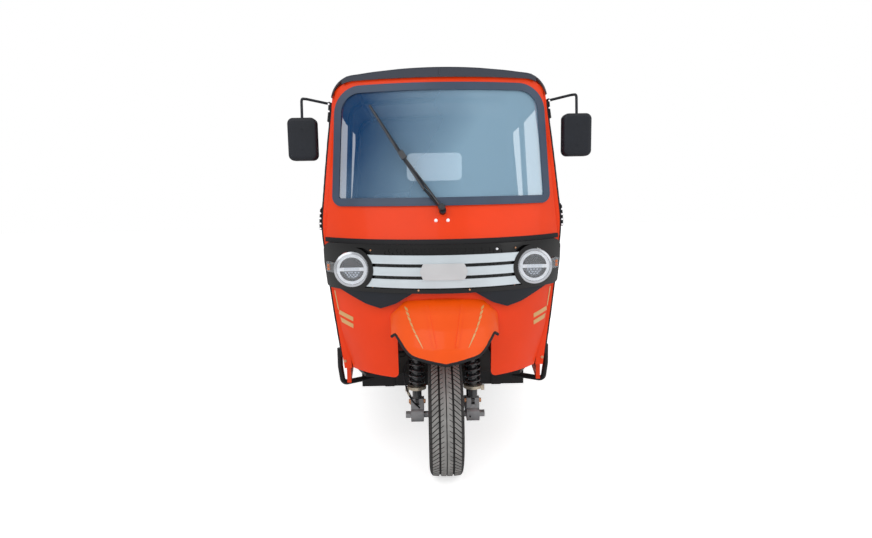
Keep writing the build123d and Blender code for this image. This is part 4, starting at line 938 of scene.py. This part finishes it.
# Places on the front as (x, z)
GRILLE_SCREWS = ((0.281, 0.943), (0.277, 0.799), (0.097, 0.7935))
CLEAR_CAP = (0.206, 0.943)
GUARD_BOLT = (0.421, 0.452)
LOWER_PLATE = (0.5025, 1.006)
UPPER_PLATE = (0.463, 1.462)
NOZZLES = ((-0.026, 1.055), (0.020, 1.055))


def fasteners():
    """Screws round the grille, bolts in the pillar plates and guards, and the two washer nozzles"""
    plate_rises, rivet_rises = [0.012 + 0.021 * k for k in range(5)], (0.010, 0.040, 0.070)
    plate_behind, nozzle = 0.12, [(0.007, -0.001), (0.0065, 0.004), (0.0045, 0.008), (0.002, 0.0095)]
    grille, hoop = surface_of("grille_panel"), surface_of("front_hoop", "side_guards")
    cowl, plates = surface_of("cowl_upper"), surface_of("pillar_plates")
    steel, nuts, caps = Heap(), Heap(), Heap()
    for side in (-1, 1):
        for x, z in GRILLE_SCREWS:
            bolt(nuts, seen_from_front(grille, side * x, z), 0.0032, 0.003, 12)
        bolt(nuts, seen_from_front(hoop, side * GUARD_BOLT[0], GUARD_BOLT[1]), 0.006, 0.006)
        for rise in plate_rises:
            z = LOWER_PLATE[1] + rise
            bolt(steel, struck(plates, (side * 0.9, back(plate_behind), z), (-side, 0, 0)), 0.0045, 0.005)
            bolt(steel, seen_from_front(plates, side * LOWER_PLATE[0], z), 0.0036, 0.003)
        for rise in rivet_rises:
            bolt(steel, seen_from_front(plates, side * UPPER_PLATE[0], UPPER_PLATE[1] + rise), 0.0036, 0.003, 12)
    bolt(caps, seen_from_front(grille, *CLEAR_CAP), 0.0042, 0.004, 12)
    for x, z in NOZZLES:
        place, normal = seen_from_front(cowl, x, z)
        caps.turned(nozzle, facing(place, normal), 16)
    # The plate bolts and washer nozzles take the self-lit white finish: a painted glint
    steel.make("plate_bolts", glowing_white, "chassis")
    nuts.make("grille_screws", bolt_copper, "chassis")
    caps.make("washer_nozzles", glowing_white, "chassis")


LEG_X = 0.115       # the middle of each fork leg


def fork_fittings():
    """Bolts through the clevises and pivots, the brake cable on the left leg, the brake lever on the right"""
    clevis_z, clevis_half, pivot_x, pivot_z, pivot_behind = 0.304, 0.026, 0.1410, 0.235, 0.185
    collar_z, collar_radius, collar_half = 0.366, 0.0385, 0.006
    clevis_nut = [(0.0095, 0), (0.0095, 0.007), (0.007, 0.009)]
    pivot_nut = [(0.014, 0), (0.014, 0.009), (0.009, 0.012)]
    collar = [(collar_radius, -collar_half), (collar_radius, collar_half)]
    ferrule = [(0.0055, -0.012), (0.0055, 0.012)]
    lever_end = [(0.0075, -0.012), (0.0075, 0.010), (0.005, 0.014)]
    cable_line = [(-0.098, back(0.03), 0.545), (-0.162, back(-0.01), 0.45), (-0.158, back(-0.03), 0.375),
                  (-0.135, back(-0.045), 0.325), (-0.105, back(-0.03), 0.285)]
    lever_line = [(0.088, back(0.115), 0.205), (0.096, back(0.06), 0.226), (0.102, back(-0.035), 0.245)]
    cable_radius, lever_radius = 0.0035, 0.0036
    nuts, cable, silver = Heap(), Heap(), Heap()
    for side in (-1, 1):
        for end in (-1, 1):
            place = (side * (LEG_X + end * clevis_half), back(0), clevis_z)
            nuts.turned(clevis_nut, facing(place, (side * end, 0, 0)), 6)
        nuts.turned(pivot_nut, facing((side * pivot_x, back(pivot_behind), pivot_z), (side, 0, 0)), 6)
        silver.turned(collar, Matrix.Translation((side * LEG_X, back(0), collar_z)), 32)
        silver.box((0.014, 0.012, 0.02), Matrix.Translation((side * (LEG_X + 0.04), back(-0.012), collar_z - 0.004)))
    cable.rod(curved(cable_line), cable_radius, 8)
    cable.rod(lever_line, lever_radius, 8)
    silver.turned(lever_end, facing((0.086, back(0.118), 0.199), (0.05, -0.35, 0.16)), 12)
    silver.turned(ferrule, facing((-0.146, back(-0.039), 0.346), (-0.023, -0.015, 0.05)), 12)
    nuts.make("fork_nuts", bolt_copper, "steering")
    cable.make("brake_cable", black_rubber, "steering")
    silver.make("shock_collars", bolt_steel, "steering")


def mirror_faces():
    """The looking glass in the back of each mirror, and two screws in its front"""
    mirror_x, mirror_z, half_wide, half_tall, squareness = 0.567, 1.385, 0.05, 0.076, 0.45
    glass_proud, screw_rise, parts = 0.0012, 0.04, 40
    glass, screws = Heap(), Heap()
    for name, x in (("mirror_right", mirror_x), ("mirror_left", -mirror_x)):
        tree = surface_of(name)
        face = struck(tree, (x, 0.5, mirror_z), (0, -1, 0))[0]
        verts = []
        for k in range(parts):
            c, s = math.cos(2 * math.pi * k / parts), math.sin(2 * math.pi * k / parts)
            verts.append((x + half_wide * math.copysign(abs(c) ** squareness, c), face.y + glass_proud,
                          mirror_z + half_tall * math.copysign(abs(s) ** squareness, s)))
        glass.add(verts, [tuple(range(parts))])
        for z in (mirror_z - screw_rise, mirror_z + screw_rise):
            bolt(screws, seen_from_front(tree, x, z), 0.004, 0.002, 12)
    glass.make("mirror_glasses", mirror_glass, "chassis")
    screws.make("mirror_screws", black_plastic, "chassis")


def wiper_parts():
    """The wiper's flat arm, its blade holder and the clip between them"""
    pivot, joint, tip, foot = (-0.004, 1.106), (-0.150, 1.305), (-0.279, 1.505), (-0.068, 1.172)
    arm_middle, holder_middle = (-0.077, 1.2055), (-0.1775, 1.3385)
    arm_radius, holder_radius, clip_size, clip_turn = 0.0052, 0.0048, (0.022, 0.034, 0.012), math.radians(33)
    hub = [(0.014, -0.006), (0.014, 0.008), (0.009, 0.014)]
    faces = surface_of("windscreen_glass", "cowl_upper", "windscreen_seal", "wiper")
    arm, holder = Heap(), Heap()

    def ahead(place, out):
        """A place (x, z) of the front, a distance ahead of the first face behind it"""
        return seen_from_front(faces, *place)[0] - Vector((0, out, 0))

    arm.rod([ahead(pivot, 0.008), ahead(arm_middle, 0.010), ahead(joint, 0.010)], arm_radius, 8)
    holder.rod([ahead(tip, 0.004), ahead(holder_middle, 0.007), ahead(foot, 0.004)], holder_radius, 8)
    arm.box(clip_size, facing(ahead(joint, 0.013), (0, -1, 0.3)) @ Matrix.Rotation(clip_turn, 4, "Z"))
    arm.turned(hub, facing(ahead(pivot, 0.004), (0, -1, 0.4)), 20)
    arm.make("wiper_arm", wiper_black, "chassis")
    holder.make("wiper_blade", wiper_black, "chassis")


def hoop_welts():
    """The black rubber welts down the outer edges of the hoop"""
    foot_z, tall, parts, welt_radius = 0.47, 1.06, 60, 0.0052
    widest, narrowest, step = 0.52, 0.38, 0.001
    tree = surface_of("front_hoop")
    heap = Heap()
    for side in (-1, 1):
        line = []
        for k in range(parts):
            z = foot_z + tall * k / (parts - 1)
            x, place = widest, None
            while x > narrowest and place is None:
                x -= step
                place, _ = seen_from_front(tree, side * x, z)
            if place is not None:
                line.append(Vector((side * (x + 0.003), place.y + 0.006, z)))
        heap.rod(line, welt_radius, 8)
    heap.make("hoop_welts", black_rubber, "chassis")


def grab_strap():
    """A hand strap that hangs from the roof rail behind the driver"""
    strap_x, strap_y, half_wide, half_deep, half_tall, parts = 0.412, 0.09, 0.011, 0.028, 0.13, 24
    rail = struck(surface_of("top_frame"), (strap_x, strap_y, 1.2), (0, 0, 1))[0]
    verts = []
    for k in range(parts + 1):
        a = 2 * math.pi * k / parts
        y, z = strap_y + half_deep * math.sin(a), rail.z - half_tall + half_tall * math.cos(a)
        verts += [Vector((strap_x - half_wide, y, z)), Vector((strap_x + half_wide, y, z))]
    obj = made("grab_strap", verts, grid_faces(parts + 1, 2), canopy_cloth, "chassis")
    thick = obj.modifiers.new("thick", "SOLIDIFY")
    thick.thickness = 0.002


tyres()
cushions()
cloth_top()
top_seams()
lamp_inserts()
signal_bulbs()
stripes()
nose_lip()
fasteners()
fork_fittings()
mirror_faces()
wiper_parts()
hoop_welts()
grab_strap()
camera()
stage()
